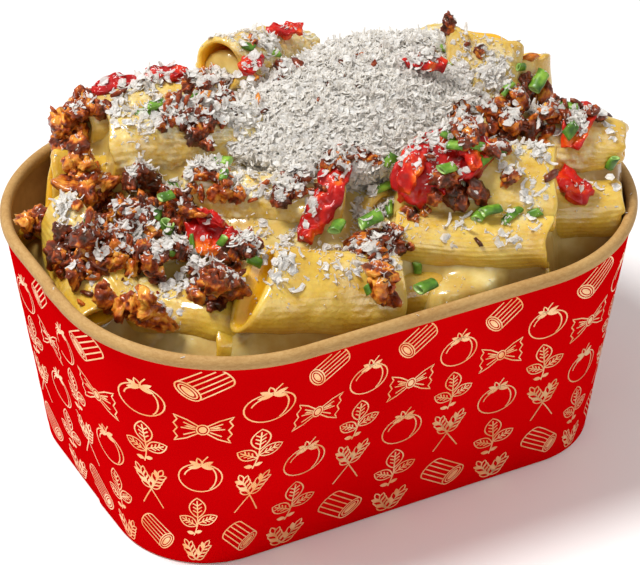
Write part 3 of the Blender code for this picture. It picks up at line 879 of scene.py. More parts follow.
def set_down(name, made, finish, *nodes):
    """Makes a piece of food that stands for these nodes, with later food lying on it."""
    piece = make_piece(name, *made[:2], finish, made[2])
    belongs(piece, finish, *nodes)
    lay(*made[:2])


def laid_tree():
    """A search tree of everything laid so far, in millimetres."""
    points, faces = [], []
    start = 0
    for part_points, part_faces in LAID:
        points.extend(map(tuple, part_points.tolist()))
        faces.extend([tuple(corner + start for corner in face) for face in part_faces])
        start += len(part_points)
    return BVHTree.FromPolygons(points, faces)


def camera_axes():
    """The camera's right, up and back directions, rolled as the photograph's camera is."""
    right, up, back = (Vector(axis) for axis in (CAMERA_RIGHT, CAMERA_UP, CAMERA_BACK))
    roll = math.radians(CAMERA_ROLL)
    rolled_right = right * math.cos(roll) + up * math.sin(roll)
    rolled_up = up * math.cos(roll) - right * math.sin(roll)
    return rolled_right, rolled_up, back


def food_at(tree, picture_place, missing=False):
    """The point and the upward direction of the food that shows at this place of the picture."""
    right, up, back = camera_axes()
    focal = CAMERA_LENS / SENSOR * PICTURE[0]
    across = (picture_place[0] - PICTURE[0] / 2) / focal
    rise = (PICTURE[1] / 2 - picture_place[1]) / focal
    way = (right * across + up * rise - back).normalized()
    point, normal, _, _ = tree.ray_cast(Vector(CAMERA_PLACE) / MM, way, 3000.0)
    if point is None and missing:
        return None
    if point is None:
        raise RuntimeError(f"no food shows at {picture_place}")
    return point, normal


class BowlSettings(bpy.types.PropertyGroup):
    """Sizes of the paper bowl."""

    wall_waviness: FloatProperty(
        name="Wall Waviness", description="How far the board bows out and in, in millimetres", default=0.18
    )
    seam_step: FloatProperty(
        name="Seam Step", description="Thickness of the overlap at the seam, in millimetres", default=0.45
    )
    motif_pitch: FloatProperty(
        name="Motif Pitch", description="Distance between columns of the print, in millimetres", default=15.2
    )
    line_width: FloatProperty(
        name="Line Width", description="Width of a printed line, in millimetres", default=0.38
    )


class PastaSettings(bpy.types.PropertyGroup):
    """Sizes of the rigatoni and the sauce."""

    ridges: IntProperty(name="Ridges", description="Ridges round one tube", default=36, min=8)
    ridge_height: FloatProperty(
        name="Ridge Height", description="Height of a ridge, in millimetres", default=0.1
    )
    wall: FloatProperty(name="Wall", description="Thickness of the pasta, in millimetres", default=1.9)
    sauce_drop: FloatProperty(
        name="Sauce Drop", description="How far the sauce lies below the tubes, in millimetres", default=4.0
    )


class ToppingSettings(bpy.types.PropertyGroup):
    """Amounts and sizes of the toppings."""

    mound_shreds: FloatProperty(
        name="Mound Shreds", description="Cheese shreds on a square millimetre of the mound", default=2.4
    )
    fallen_shreds: FloatProperty(
        name="Fallen Shreds", description="Most cheese shreds on a square millimetre of food", default=2.0
    )
    fine_flakes: FloatProperty(
        name="Fine Flakes", description="Most fine cheese flakes on a square millimetre of food", default=3.0
    )
    crumbs: FloatProperty(
        name="Crumbs", description="Most pancetta crumbs on a square millimetre of food", default=0.16
    )
    shred_length: FloatProperty(
        name="Shred Length", description="Length of a full-size shred, in millimetres", default=4.2
    )


class StageSettings(bpy.types.PropertyGroup):
    """The studio."""

    floor_size: FloatProperty(
        name="Floor Size", description="Half the width of the floor", default=3.0, unit="LENGTH"
    )
    sky: FloatProperty(name="Sky", description="Strength of the even light", default=0.42)
    key: FloatProperty(name="Key", description="Power of the main lamp, in watts", default=16.0)
    fill: FloatProperty(name="Fill", description="Power of the side lamp, in watts", default=3.0)


SETTINGS = {
    "carbonara_bowl": BowlSettings,
    "carbonara_pasta": PastaSettings,
    "carbonara_toppings": ToppingSettings,
    "carbonara_stage": StageSettings,
}


def bowl_profile():
    """The closed section of the wall: height, shift outwards from the outer face, and the finish of
    the face above it: 0 printed, 1 plain board, 2 board darkened with painted shade inside the bowl."""
    rows = [(z, 0.0, 0) for z in np.linspace(0.4, WALL_TOP - 0.3, 16)]
    rows.insert(0, (0.0, -0.25, 0))
    middle_out = RIM_OVERHANG - RIM_WIDTH / 2
    middle_z = BOWL_HEIGHT - RIM_TALL / 2
    for angle in np.linspace(-42, 222, 15):
        out = middle_out + RIM_WIDTH / 2 * math.cos(math.radians(angle))
        rows.append((middle_z + RIM_TALL / 2 * math.sin(math.radians(angle)), out, 1))
    # Painted shade: the inner face of the wall takes the darker board, for the shade inside the bowl.
    rows += [(z, -BOARD, 2) for z in np.linspace(WALL_TOP - 1, HEM_TALL + 1, 12)]
    rows += [(HEM_TALL, -HEM, 1), (HEM_TALL / 2, -HEM, 1), (0.3, -HEM, 1), (0.0, -HEM + 0.3, 1)]
    return rows


class BuildBowl(bpy.types.Operator):
    """Builds the paper bowl: a red printed wall with a rolled kraft rim and a side seam"""

    bl_idname = "carbonara.build_bowl"
    bl_label = "Paper Bowl"

    def execute(self, context):
        settings = context.scene.carbonara_bowl
        outline = Outline()
        seam = outline.nearest(*SEAM_POINT, WALL_TOP)
        counts = [30 if part % 2 == 0 else 24 for part in range(8)]
        per_part = [np.linspace(0, 1, count, endpoint=False) + part for part, count in enumerate(counts)]
        places = np.unique(np.concatenate(per_part + [[seam - 0.004, seam + 0.004]]))
        profile = bowl_profile()
        rows = [outline.surface(places, z, shift, settings) for z, shift, _ in profile]
        points, groups = lofted(rows, around=True)
        groups = facing_out(points, groups)
        bands = np.repeat([band for _, _, band in profile], len(places))
        wall = make_piece("paper_bowl_wall", points, groups, "print", more=(("kraft", "shaded_inner_kraft"), bands))
        BOWL_SURFACE.append((points, groups))
        belongs(wall, "printed_paper", "bowl_wall")
        frame["nodes"]["bowl_base"].data.materials.clear()
        frame["nodes"]["bowl_base"].data.materials.append(finish_of("kraft"))
        return {"FINISHED"}


def spun(flat, turn):
    """Flat points turned clockwise by this many degrees."""
    tilt = math.radians(turn)
    return flat @ np.array([[math.cos(tilt), -math.sin(tilt)], [math.sin(tilt), math.cos(tilt)]])


def arc(middle, size, start, end, steps=14, turn=0.0):
    """Points along part of an ellipse."""
    angles = np.radians(np.linspace(start, end, steps))
    flat = np.column_stack([np.cos(angles) * size[0], np.sin(angles) * size[1]])
    return spun(flat, turn) + np.array(middle)


def leaf(base, length, width, turn, steps=9):
    """The closed outline of a pointed leaf or grain that starts at its base and leans clockwise."""
    share = np.linspace(0, 1, steps)
    side = width / 2 * np.sin(np.pi * share) ** 0.8
    right = np.column_stack([side, share * length])
    left = np.column_stack([-side, share * length])[::-1][1:]
    return spun(np.vstack([right, left]), turn) + np.array(base)


def wheat_motif():
    """Two crossed ears of wheat."""
    lines, fills = [], []
    for side in (-1, 1):
        stalk = ((-3.6, -7.0), (-1.8, -3.8), (-0.1, -0.9), (1.5, 2.1), (2.8, 4.6))
        lines.append(np.array(stalk) * np.array([side, 1]))
        for row, (x, y) in enumerate(((0.3, -0.3), (1.0, 1.1), (1.7, 2.5), (2.4, 3.9))):
            base = (side * x, y)
            lines.append(leaf(base, 3.2, 1.4, side * 26 + 36))
            (fills if row % 2 else lines).append(leaf(base, 3.2, 1.4, side * 26 - 36))
        lines.append(leaf((side * 2.9, 4.8), 3.1, 1.4, side * 26))
    return lines, fills


def tube_motif():
    """A short ribbed tube of pasta, seen from the side and a little from its end."""
    start = np.array([-3.6, -3.0])
    along = np.array([0.77, 0.64])
    across = np.array([-0.64, 0.77])
    lines = [arc(start, (1.9, 3.9), 0, 360, 20, -40), arc(start, (1.2, 2.9), 0, 360, 18, -40)]
    for offset in (-3.9, -2.3, -0.8, 0.8, 2.3, 3.9):
        reach = 1.9 * math.sqrt(max(0.0, 1 - (offset / 3.95) ** 2))
        first = start + across * offset + along * reach
        lines.append(np.array([first, first + along * 4.4, first + along * 8.8]))
    lines.append(arc(start + along * 8.8, (1.9, 3.9), -90, 90, 12, -40))
    return lines, [arc(start, (0.7, 2.1), 0, 360, 14, -40)]


def tomato_motif():
    """A round tomato with its star of leaves."""
    lines = [arc((0, -1.4), (6.0, 5.3), 68, 472, 30)]
    lines.append(arc((0, -1.4), (4.4, 3.9), 115, 170, 8))
    lines.append(arc((1.4, -1.6), (3.0, 4.6), -60, 50, 8))
    lines.append(np.array([(0.2, 3.0), (0.5, 5.0), (1.7, 6.8)]))
    lines.append(leaf((0.1, 3.0), 3.2, 1.3, -20))
    fills = [leaf((0.1, 3.0), 3.6, 1.4, turn) for turn in (-105, -62, 58, 104)]
    return lines, fills


def basil_motif():
    """A sprig of three leaves."""
    lines = [np.array([(1.0, -7.3), (0.4, -5.0), (0.0, -2.6), (0.1, -0.2)])]
    for base, length, width, turn in (
        ((0.1, -0.2), 7.6, 5.0, 4), ((0.0, -2.4), 6.6, 3.9, -64), ((0.2, -3.4), 6.4, 3.9, 62)
    ):
        lines.append(leaf(base, length, width, turn, 11))
        tilt = math.radians(turn)
        way = np.array([math.sin(tilt), math.cos(tilt)])
        side = np.array([math.cos(tilt), -math.sin(tilt)])
        start = np.array(base)
        lines.append(np.array([start, start + way * length * 0.45, start + way * length * 0.86]))
        for share in (0.24, 0.42, 0.6):
            mid = start + way * length * share
            lines.append(np.array([mid, mid + way * 1.0 + side * width * 0.27]))
            lines.append(np.array([mid, mid + way * 1.0 - side * width * 0.27]))
    fills = [leaf((0.9, -6.6), 2.6, 1.4, 78), leaf((0.7, -6.2), 2.4, 1.3, -70)]
    return lines, fills


def bow_motif():
    """A pasta bow, pinched in its middle, with zigzag ends."""
    lines, fills = [], []
    for side in (-1, 1):
        top = [(side * 1.1, 1.4), (side * 3.8, 3.4), (side * 7.0, 4.8)]
        zigzag = [(side * (7.0 - 0.9 * (step % 2)), 4.8 - step * 1.6) for step in range(7)]
        low = [(side * 7.0, -4.8), (side * 3.8, -3.4), (side * 1.1, -1.4)]
        lines.append(np.array(top + zigzag[1:] + low[1:]))
        lines.append(np.array([(side * 1.8, 0.0), (side * 5.2, 0.3)]))
        lines.append(np.array([(side * 1.7, 0.8), (side * 4.6, 2.3)]))
        lines.append(np.array([(side * 1.7, -0.8), (side * 4.6, -2.3)]))
        fills.append(np.array([(side * 1.6, 0.45), (side * 3.6, 1.3), (side * 4.4, 0.9), (side * 3.2, 0.5)]))
    lines.append(arc((0, 0), (1.5, 1.8), 0, 360, 14))
    fills.append(arc((0, 0), (0.95, 1.2), 0, 360, 12))
    return lines, fills


PRINT_LOW = 1.2
PRINT_HIGH = 73.0
MOTIFS = (wheat_motif, tomato_motif, tube_motif, basil_motif, bow_motif)
PRINT_ROWS = (2.0, 18.5, 35.0, 51.5, 68.0)
PRINT_RISE = 8.2


def resampled(line, step):
    """The same line with points no further apart than the step."""
    made = [line[0]]
    for start, end in zip(line[:-1], line[1:]):
        count = max(1, int(math.ceil(np.linalg.norm(end - start) / step)))
        made += [start + (end - start) * (index + 1) / count for index in range(count)]
    return np.array(made)


def runs_inside(line, height):
    """The stretches of a line that stay on the wall, with the motif at this height, but no scraps."""
    kept = (line[:, 1] + height > PRINT_LOW) & (line[:, 1] + height < PRINT_HIGH)
    if kept.all():
        return [line]
    runs, run = [], []
    for point, here in zip(line, kept):
        if here:
            run.append(point)
        else:
            runs.append(run)
            run = []
    runs.append(run)
    runs = [np.array(run) for run in runs if len(run) > 4]
    return runs or [np.zeros((0, 2))]


class Wrap:
    """Lays flat print artwork on the slanted wall: millimetres across and up become points."""

    def __init__(self, outline, centre_place, centre_height, settings):
        self.place, self.height = centre_place, centre_height
        self.outline, self.settings = outline, settings

    def lay(self, flat, lift):
        flat = np.asarray(flat, float)
        heights = self.height + flat[:, 1] * 0.985
        distance = self.outline.distance(self.place) + flat[:, 0]
        return self.outline.surface(self.outline.place(distance), heights, lift, self.settings)


def ribbon(wrap, line, width):
    """A printed line as a thin closed strip, flat outside and keyed into the board."""
    if np.linalg.norm(line[0] - line[-1]) < 1e-6:
        ring = line[:-1]
        ahead, behind = np.roll(ring, -1, axis=0), np.roll(ring, 1, axis=0)
        closed = True
    else:
        ring = line
        ahead, behind = np.vstack([ring[1:], ring[-1]]), np.vstack([ring[0], ring[:-1]])
        closed = False
    way = ahead - behind
    way /= np.maximum(np.linalg.norm(way, axis=1), 1e-9)[:, None]
    side = np.column_stack([-way[:, 1], way[:, 0]]) * width / 2
    left, right, root = wrap.lay(ring + side, 0.07), wrap.lay(ring - side, 0.07), wrap.lay(ring, -0.25)
    points, groups = lofted(np.stack([left, right, root], axis=1), around=closed)
    return points, facing_out(points, groups), {}


def patch(wrap, outline_points):
    """A printed filled shape as a thin closed plate."""
    repeats = np.linalg.norm(outline_points[0] - outline_points[-1]) < 1e-6
    ring = outline_points[:-1] if repeats else outline_points
    points, groups = lofted(np.stack([wrap.lay(ring, -0.25), wrap.lay(ring, 0.07)]))
    return points, facing_out(points, groups), {}


class BuildPrint(bpy.types.Operator):
    """Lays the gold print on the wall: wheat, tomatoes, tubes, basil and pasta bows in a staggered lattice"""

    bl_idname = "carbonara.build_print"
    bl_label = "Gold Print"

    def execute(self, context):
        settings = context.scene.carbonara_bowl
        outline = Outline()
        columns = int(round(outline.length / settings.motif_pitch / 2)) * 2
        parts = []
        for column in range(columns):
            distance = outline.length * (column + 0.5) / columns
            place = float(outline.place(distance))
            heights = [z + (PRINT_RISE if column % 2 else 0.0) for z in PRINT_ROWS]
            for row, height in enumerate(heights):
                wrap = Wrap(outline, place, height, settings)
                lines, fills = MOTIFS[(column * 2 + row * 3 + column // 2) % len(MOTIFS)]()
                flat = np.vstack([np.asarray(line) for line in lines])
                if height + flat[:, 1].min() > PRINT_HIGH - 3 or height + flat[:, 1].max() < PRINT_LOW + 3:
                    continue
                grow = np.array([-1.0 if (column + row) % 2 else 1.0, 1.0])
                for line in lines:
                    for run in runs_inside(resampled(np.asarray(line) * grow, 1.2), height):
                        if len(run) > 1:
                            parts.append(ribbon(wrap, run, settings.line_width))
                for fill in fills:
                    if len(runs_inside(np.asarray(fill) * grow, height)[0]) == len(fill):
                        parts.append(patch(wrap, np.asarray(fill) * grow))
        points, groups, _ = joined(parts)
        piece = make_piece("gold_print_lines", points, groups, "gold", smooth=False)
        belongs(piece, "printed_paper")
        return {"FINISHED"}


PASTA_AROUND = 144
PASTA_ALONG = 40


def tube_surface(tube, share, inset, settings, seed, ridged):
    """One closed ring of a tube, at a share of its length and this far in from its outer face."""
    _, middle, yaw, pitch, length, diameter, first, last = tube
    squash = first[0] * (1 - share) + last[0] * share
    roll = math.radians(first[1] * (1 - share) + last[1] * share)
    radius = diameter / 2
    if tube[0] in ROUND_ENDS:
        radius *= 1 - 0.42 * max(0.0, (share - 0.62) / 0.38) ** 2.4
    low = radius * squash
    wide = math.sqrt(2 * radius * radius - low * low)
    angle = 2 * math.pi * np.arange(PASTA_AROUND) / PASTA_AROUND
    wave = np.cos(settings.ridges * angle)
    rib = settings.ridge_height * (np.abs(wave) ** 0.7 * np.sign(wave) - 1) * ridged
    y = (wide - inset + rib) * np.cos(angle)
    z = (low - inset + rib) * np.sin(angle)
    across = y * math.cos(roll) - z * math.sin(roll)
    upwards = y * math.sin(roll) + z * math.cos(roll)
    slants = SLANTED_ENDS.get(tube[0], (0.0, 0.0, 0.0, 0.0))
    slant = (slants[0] * y + slants[1] * z) * (1 - share) ** 2 + (slants[2] * y + slants[3] * z) * share**2
    nearer_end = abs(2 * share - 1) ** 6
    end = 0 if share < 0.5 else 1
    ragged = np.array(
        [
            noise.noise(Vector((math.cos(a) * 1.4, math.sin(a) * 1.4, seed * 2.7 + end * 5.1)))
            for a in angle.tolist()
        ]
    )
    along = length * (share - 0.5) + slant + ragged * nearer_end * 1.1
    bow = math.sin(seed * 2.4) * 1.1 * (1 - (2 * share - 1) ** 2)
    return np.column_stack([along, across, upwards + bow]), (1 - (wave + 1) / 2) * ridged


def cooked_tube(tube, settings, seed):
    """A hollow ribbed tube with rounded, slightly ragged lips, softened by cooking."""
    length = tube[4]
    wall = settings.wall
    lip = 0.55 / length
    clear = RIDGE_SHARES.get(tube[0], 0.25)
    outer = np.linspace(lip, 1 - lip, PASTA_ALONG)
    plan = [(share, 0.0, min(1.0, 6 * min(share, 1 - share) + 0.35), 0.0) for share in outer]
    plan.append((1 - lip * 0.3, 0.32, 0.2, 0.0))
    plan.append((1.0, wall * 0.5, 0.0, 0.15))
    plan.append((1 - lip * 0.3, wall - 0.3, 0.0, 0.6))
    inner = [*zip(np.linspace(1 - lip, 0.5, 7), (0.85, 1, 1, 1, 1, 1, 1))]
    inner += zip(np.linspace(0.42, lip, 6), (1, 1, 1, 1, 1, 0.85))
    plan += [(share, wall, 0.0, depth) for share, depth in inner]
    plan.append((lip * 0.3, wall - 0.3, 0.0, 0.6))
    plan.append((0.0, wall * 0.5, 0.0, 0.15))
    plan.append((lip * 0.3, 0.32, 0.2, 0.0))
    rows, inside, groove = [], [], []
    spin = turned(tube[2], tube[3])
    for share, inset, ridged, depth in plan:
        local, dips = tube_surface(tube, share, inset, settings, seed, ridged * clear)
        rows.append(local @ spin.T + np.array(tube[1]))
        inside.append(np.full(PASTA_AROUND, depth))
        groove.append(dips)
    rows = np.array(rows)
    flat = rows.reshape(-1, 3)
    flat = flat + wander(flat, 13.0, 1.0, seed) + wander(flat, 5.0, 0.25, seed + 40)
    flat = press_inside(flat)
    points, groups = lofted(flat.reshape(rows.shape), around=True)
    values = {"inside": np.concatenate(inside), "groove": np.concatenate(groove)}
    return points, facing_out(points, groups), values


def melted_on(tubes):
    """How much cheese has melted on each point of the tubes, and the points with its bubbles."""
    points, groups, _ = joined(tubes)
    tree = BVHTree.FromPolygons(points.tolist(), [face for group in groups for face in group.tolist()])
    made = []
    for index, (flat, faces, values) in enumerate(tubes):
        cover = np.clip(falls_near(tree, CHEESE_FALLS, flat, 1.4) * 1.7, 0, 1)
        cover = cover * np.clip(0.85 + 1.0 * lumps(flat, 5.0, index + 11), 0, 1)
        cover = cover * (1 - np.clip(values["inside"] * 3, 0, 1))
        middle = np.array(RIGATONI[index][1])
        out = flat - middle
        along = turned(*RIGATONI[index][2:4])[:, 0]
        out = out - np.outer(out @ along, along)
        out /= np.maximum(np.linalg.norm(out, axis=1), 1e-6)[:, None]
        small = np.clip(lumps(flat, 1.5, index + 31) + 0.25, 0, 1)
        bubbles = small * 1.1 + np.clip(lumps(flat, 3.4, index + 51), -0.3, 1) * 0.7
        values["melted"] = cover
        made.append((flat + out * (bubbles * cover)[:, None], faces, values))
    return made


class BuildRigatoni(bpy.types.Operator):
    """Builds the cooked rigatoni as hollow ribbed tubes, with cheese melting on those under the fall"""

    bl_idname = "carbonara.build_rigatoni"
    bl_label = "Rigatoni"

    def execute(self, context):
        settings = context.scene.carbonara_pasta
        tubes = melted_on([cooked_tube(tube, settings, index + 1.0) for index, tube in enumerate(RIGATONI)])
        for name, first in (("rigatoni_front", 0), ("rigatoni_left", 8), ("rigatoni_back", 16)):
            set_down(name, joined(tubes[first : first + 8]), "pasta", "rigatoni_heap")
        return {"FINISHED"}


GRID = 1.0
SAUCE_FLOOR = 46.0
# The pool of sauce that shows at the front: its middle x y z, and its half sizes.
SAUCE_POOL = (17.5, -51.5, 74.0, 10.0, 5.0)


def pool_share(x, y):
    """How far out a point lies in the front pool of sauce: 0 in its middle, 1 at its edge."""
    return ((x - SAUCE_POOL[0]) / SAUCE_POOL[3]) ** 2 + ((y - SAUCE_POOL[1]) / SAUCE_POOL[4]) ** 2


def spread_high(heights, reach):
    """The greatest height within a round reach of each point, in grid steps."""
    made = heights.copy()
    for step_x in range(-reach, reach + 1):
        for step_y in range(-reach, reach + 1):
            if step_x * step_x + step_y * step_y <= reach * reach + 1:
                made = np.maximum(made, np.roll(heights, (step_x, step_y), (0, 1)))
    return made


def blurred(heights, times):
    for _ in range(times):
        beside = sum(np.roll(heights, shift, axis) for shift in (-1, 1) for axis in (0, 1))
        heights = (heights * 2 + beside) / 6
    return heights


def heights_from_above(tree, floor, step=GRID):
    """The height of what lies under each point of a grid over the bowl."""
    xs = np.arange(-BOWL_LENGTH / 2, BOWL_LENGTH / 2 + step, step)
    ys = np.arange(-BOWL_WIDTH / 2, BOWL_WIDTH / 2 + step, step)
    found = np.array(floor(*np.meshgrid(xs, ys, indexing="ij")))
    steep = np.zeros_like(found)
    down = Vector((0, 0, -1))
    for row, x in enumerate(xs.tolist()):
        for column, y in enumerate(ys.tolist()):
            point, normal, _, _ = tree.ray_cast(Vector((x, y, 200.0)), down)
            if point is not None and point.z > found[row, column]:
                found[row, column] = point.z
                steep[row, column] = abs(normal.z)
    return xs, ys, found, steep


def read_grid(xs, ys, heights, x, y):
    """Heights between the grid's points."""
    step = xs[1] - xs[0]
    row = np.clip((x - xs[0]) / step, 0, len(xs) - 1.001)
    column = np.clip((y - ys[0]) / step, 0, len(ys) - 1.001)
    low_row, low_column = row.astype(int), column.astype(int)
    part_row, part_column = row - low_row, column - low_column
    low = heights[low_row, low_column] * (1 - part_column) + heights[low_row, low_column + 1] * part_column
    above = low_row + 1
    high = heights[above, low_column] * (1 - part_column) + heights[above, low_column + 1] * part_column
    return low * (1 - part_row) + high * part_row


class BuildSauce(bpy.types.Operator):
    """Fills the hollows between the tubes with sauce, which clings to them and pools low down"""

    bl_idname = "carbonara.build_sauce"
    bl_label = "Sauce"

    def execute(self, context):
        settings = context.scene.carbonara_pasta
        xs, ys, heights, _ = heights_from_above(laid_tree(), lambda x, y: core_height(x, y) - 12.0)
        reach = 3
        closed = -spread_high(-spread_high(heights, reach), reach)
        grid_x, grid_y = np.meshgrid(xs, ys, indexing="ij")
        edge_reach = np.minimum(1.0, round_reach(grid_x, grid_y, *wall_line(CORE_EDGE)))
        lowest = core_height(grid_x, grid_y) - 9.0 * edge_reach**4
        level = np.maximum(closed - settings.sauce_drop - 3.0 * edge_reach**6, lowest)
        pool = pool_share(grid_x, grid_y)
        level = np.where(pool < 1.6, np.maximum(level, SAUCE_POOL[2] - 1.2 * pool**2), level)
        level = np.maximum(blurred(level, 3), SAUCE_FLOOR + 1.5)
        per_part = [np.linspace(part, part + 1, 40, endpoint=False) for part in range(8)]
        around = np.unique(np.concatenate(per_part))
        low_edge, _ = on_outline(around, *(float(size) - BOARD - 1.5 for size in wall_line(SAUCE_FLOOR)))
        edge, _ = on_outline(around, *(float(size) - BOARD - 0.6 for size in wall_line(CORE_EDGE)))
        rows = [np.column_stack([low_edge, np.full(len(edge), SAUCE_FLOOR)])]
        for size in np.linspace(1.0, 0.012, 84):
            flat = edge * size
            z = read_grid(xs, ys, level, flat[:, 0], flat[:, 1])
            point = np.column_stack([flat, z])
            z = z + lumps(point, 7.0, 5.0) * 0.7 + lumps(point, 2.6, 8.0) * 0.25
            rows.append(press_inside(np.column_stack([flat, z])))
        points, groups = lofted(rows)
        groups = facing_out(points, groups)
        # Painted shade: the sauce is marked for darkening towards the wall, but not in the front pool.
        painted_shade_by_wall = round_reach(points[:, 0], points[:, 1], *wall_line(CORE_EDGE)) ** 7
        painted_shade_by_wall[pool_share(points[:, 0], points[:, 1]) < 1.4] = 0.0
        piece = make_piece("creamy_sauce", points, groups, "sauce", {"shade": painted_shade_by_wall})
        belongs(piece, "pasta", "rigatoni_heap")
        lay(points, groups)
        lay(*BOWL_SURFACE[0])
        return {"FINISHED"}


def cheese_height(x, y, reach):
    point = np.column_stack([x, y, np.full(len(x), 3.0)])
    broad = lumps(point, 9.0) * 1.6
    point[:, 2] = 9.0
    small = lumps(point, 4.0) * 0.8
    point[:, 2] = 20.0
    fine = lumps(point, 1.8) * 0.9
    return CHEESE_TOP - CHEESE_FALL * reach**2 + broad + small + fine


class BuildCheeseMound(bpy.types.Operator):
    """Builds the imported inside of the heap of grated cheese"""

    bl_idname = "carbonara.build_cheese_mound"
    bl_label = "Cheese Mound"

    def execute(self, context):
        spin = turned(CHEESE_TURN, 0)[:2, :2]
        middle = np.array(CHEESE_MIDDLE)
        angle = np.linspace(0, 2 * math.pi, 160, endpoint=False)
        wave = 1 + 0.05 * np.sin(3 * angle) + 0.04 * np.sin(5 * angle + 1)
        edge = np.column_stack([np.cos(angle) * CHEESE_REACH[0], np.sin(angle) * CHEESE_REACH[1]])
        edge = edge * wave[:, None]
        rows = []
        low = (edge * 0.9) @ spin.T + middle
        rows.append(np.column_stack([low, core_height(low[:, 0], low[:, 1]) - 2]))
        for reach in np.linspace(1.0, 0.02, 46):
            flat = (edge * reach) @ spin.T + middle
            rows.append(np.column_stack([flat, cheese_height(flat[:, 0], flat[:, 1], reach)]))
        points, groups = lofted(rows)
        groups = facing_out(points, groups)
        mound = make_piece("grated_cheese_mound", points, groups, "cheese")
        belongs(mound, "cheese", "parmesan_mound")
        lay(points, groups)
        return {"FINISHED"}


def ball_points(steps):
    """Even directions over a ball, as loops from one pole to the other, for lofting."""
    rows = []
    for index in range(1, steps):
        polar = math.pi * index / steps
        angle = 2 * math.pi * np.arange(2 * steps) / (2 * steps)
        x, y = np.sin(polar) * np.cos(angle), np.sin(polar) * np.sin(angle)
        rows.append(np.column_stack([x, y, np.full(len(angle), math.cos(polar))]))
    return np.array(rows)


def chunk(place, sizes, turn, fried, index, steps=28):
    """A crisp piece of fried pork belly: broken facets with softened edges, layers of lean and
    fat, and a fine crust."""
    chance = np.random.default_rng(index + 1)
    rows = ball_points(steps)
    way = rows.reshape(-1, 3)
    facing = chance.normal(size=(11, 3))
    facing = np.vstack([facing, -facing[:3]])
    facing /= np.linalg.norm(facing, axis=1)[:, None]
    depth = chance.uniform(0.62, 1.0, len(facing))
    press = np.maximum(way @ facing.T, 0) / depth
    reach = (press**9).sum(axis=1) ** (-1 / 9)
    shape = way * np.minimum(reach, 1.25)[:, None]
    shape = shape * (1 + 0.38 * lumps(way, 0.6, index + 1))[:, None]
    local = shape * np.array(sizes) / 2
    bend = chance.uniform(-0.5, 0.5) / max(sizes)
    local[:, 2] += bend * (local[:, 0] ** 2 - (sizes[0] / 4) ** 2)
    crust = 0.5 - np.abs(lumps(local, 2.0, index + 60)) * 2.0
    fine = 0.4 - np.abs(lumps(local, 0.9, index + 90)) * 1.6
    rough = min(1.0, max(sizes) / 7)
    out = (1.0 * crust + 0.5 * fine) * rough
    local = local + way * out[:, None]
    spin = turned(turn, 0) @ np.array(Matrix.Rotation(0.7 * math.sin(index * 2.1), 3, "X"))
    points, groups = lofted((local @ spin.T + np.array(place)).reshape(rows.shape))
    edge = np.clip((np.linalg.norm(shape, axis=1) - 0.82) * 2.2, 0, 1)
    layer = np.sin(local[:, 2] / 0.85 + 2.2 * lumps(local, 3.0, index + 40) + index)
    # Painted shade: the colour is darker in the hollows of the crust and lighter on its raised ridges, as if
    # shaded and lit.
    shade = 0.16 + 0.58 * fried + 0.1 * layer + 0.4 * lumps(local, 3.0, index + 120)
    shade = np.clip(shade - 0.3 * crust - 0.2 * fine, 0, 1)
    values = {"crest": np.append(edge, edge[[0, -1]]), "fried": np.append(shade, shade[[0, -1]])}
    return points, facing_out(points, groups), values


# Where smaller bits of pancetta lie: picture x y, spread across and down in picture points, how
# many, their size in millimetres, and how dark they are fried.
BIT_FALLS = (
    ((75, 118), (26, 24), 10, 6.5, 0.35),
    ((82, 158), (12, 12), 6, 5.0, 0.2),
    ((96, 190), (18, 14), 8, 6.0, 0.45),
    ((130, 185), (18, 20), 6, 5.5, 0.85),
    ((28, 228), (12, 16), 5, 5.5, 0.3),
    ((85, 255), (28, 32), 18, 6.5, 0.5),
    ((110, 215), (30, 14), 10, 5.5, 0.35),
    ((150, 225), (48, 28), 24, 5.5, 0.6),
    ((150, 260), (22, 16), 6, 5.5, 0.5),
    ((120, 262), (18, 12), 6, 5.5, 0.25),
    ((122, 308), (22, 14), 5, 7.0, 0.1),
    ((206, 285), (20, 22), 14, 6.5, 0.65),
    ((238, 250), (12, 12), 6, 5.0, 0.7),
    ((213, 78), (22, 10), 12, 4.5, 0.45),
    ((292, 78), (10, 9), 5, 4.5, 0.6),
    ((385, 42), (24, 5), 6, 2.4, 0.5),
    ((345, 66), (36, 18), 9, 2.4, 0.6),
    ((372, 92), (14, 8), 5, 2.8, 0.5),
    ((470, 120), (18, 22), 10, 5.5, 0.35),
    ((520, 118), (38, 30), 22, 5.5, 0.5),
    ((527, 92), (12, 14), 6, 5.5, 0.8),
    ((455, 196), (16, 12), 5, 6.0, 0.7),
    ((430, 214), (22, 8), 7, 4.5, 0.3),
    ((375, 252), (28, 14), 12, 5.5, 0.6),
    ((382, 288), (12, 16), 8, 4.5, 0.3),
    ((190, 110), (34, 18), 12, 4.5, 0.35),
    ((200, 132), (12, 14), 5, 5.0, 0.55),
    ((228, 95), (14, 24), 8, 5.0, 0.35),
    ((220, 190), (28, 9), 9, 4.5, 0.35),
    ((296, 192), (28, 10), 11, 4.5, 0.55),
    ((340, 160), (24, 16), 12, 5.0, 0.4),
    ((479, 51), (3, 7), 2, 3.0, 0.4),
    ((512, 176), (8, 4), 2, 4.0, 0.6),
    ((270, 75), (20, 14), 6, 4.0, 0.5),
    ((410, 55), (30, 20), 6, 3.0, 0.5),
    ((590, 112), (12, 8), 4, 4.0, 0.7),
    ((250, 45), (6, 6), 2, 4.0, 0.5),
    ((175, 205), (22, 16), 8, 5.0, 0.55),
)


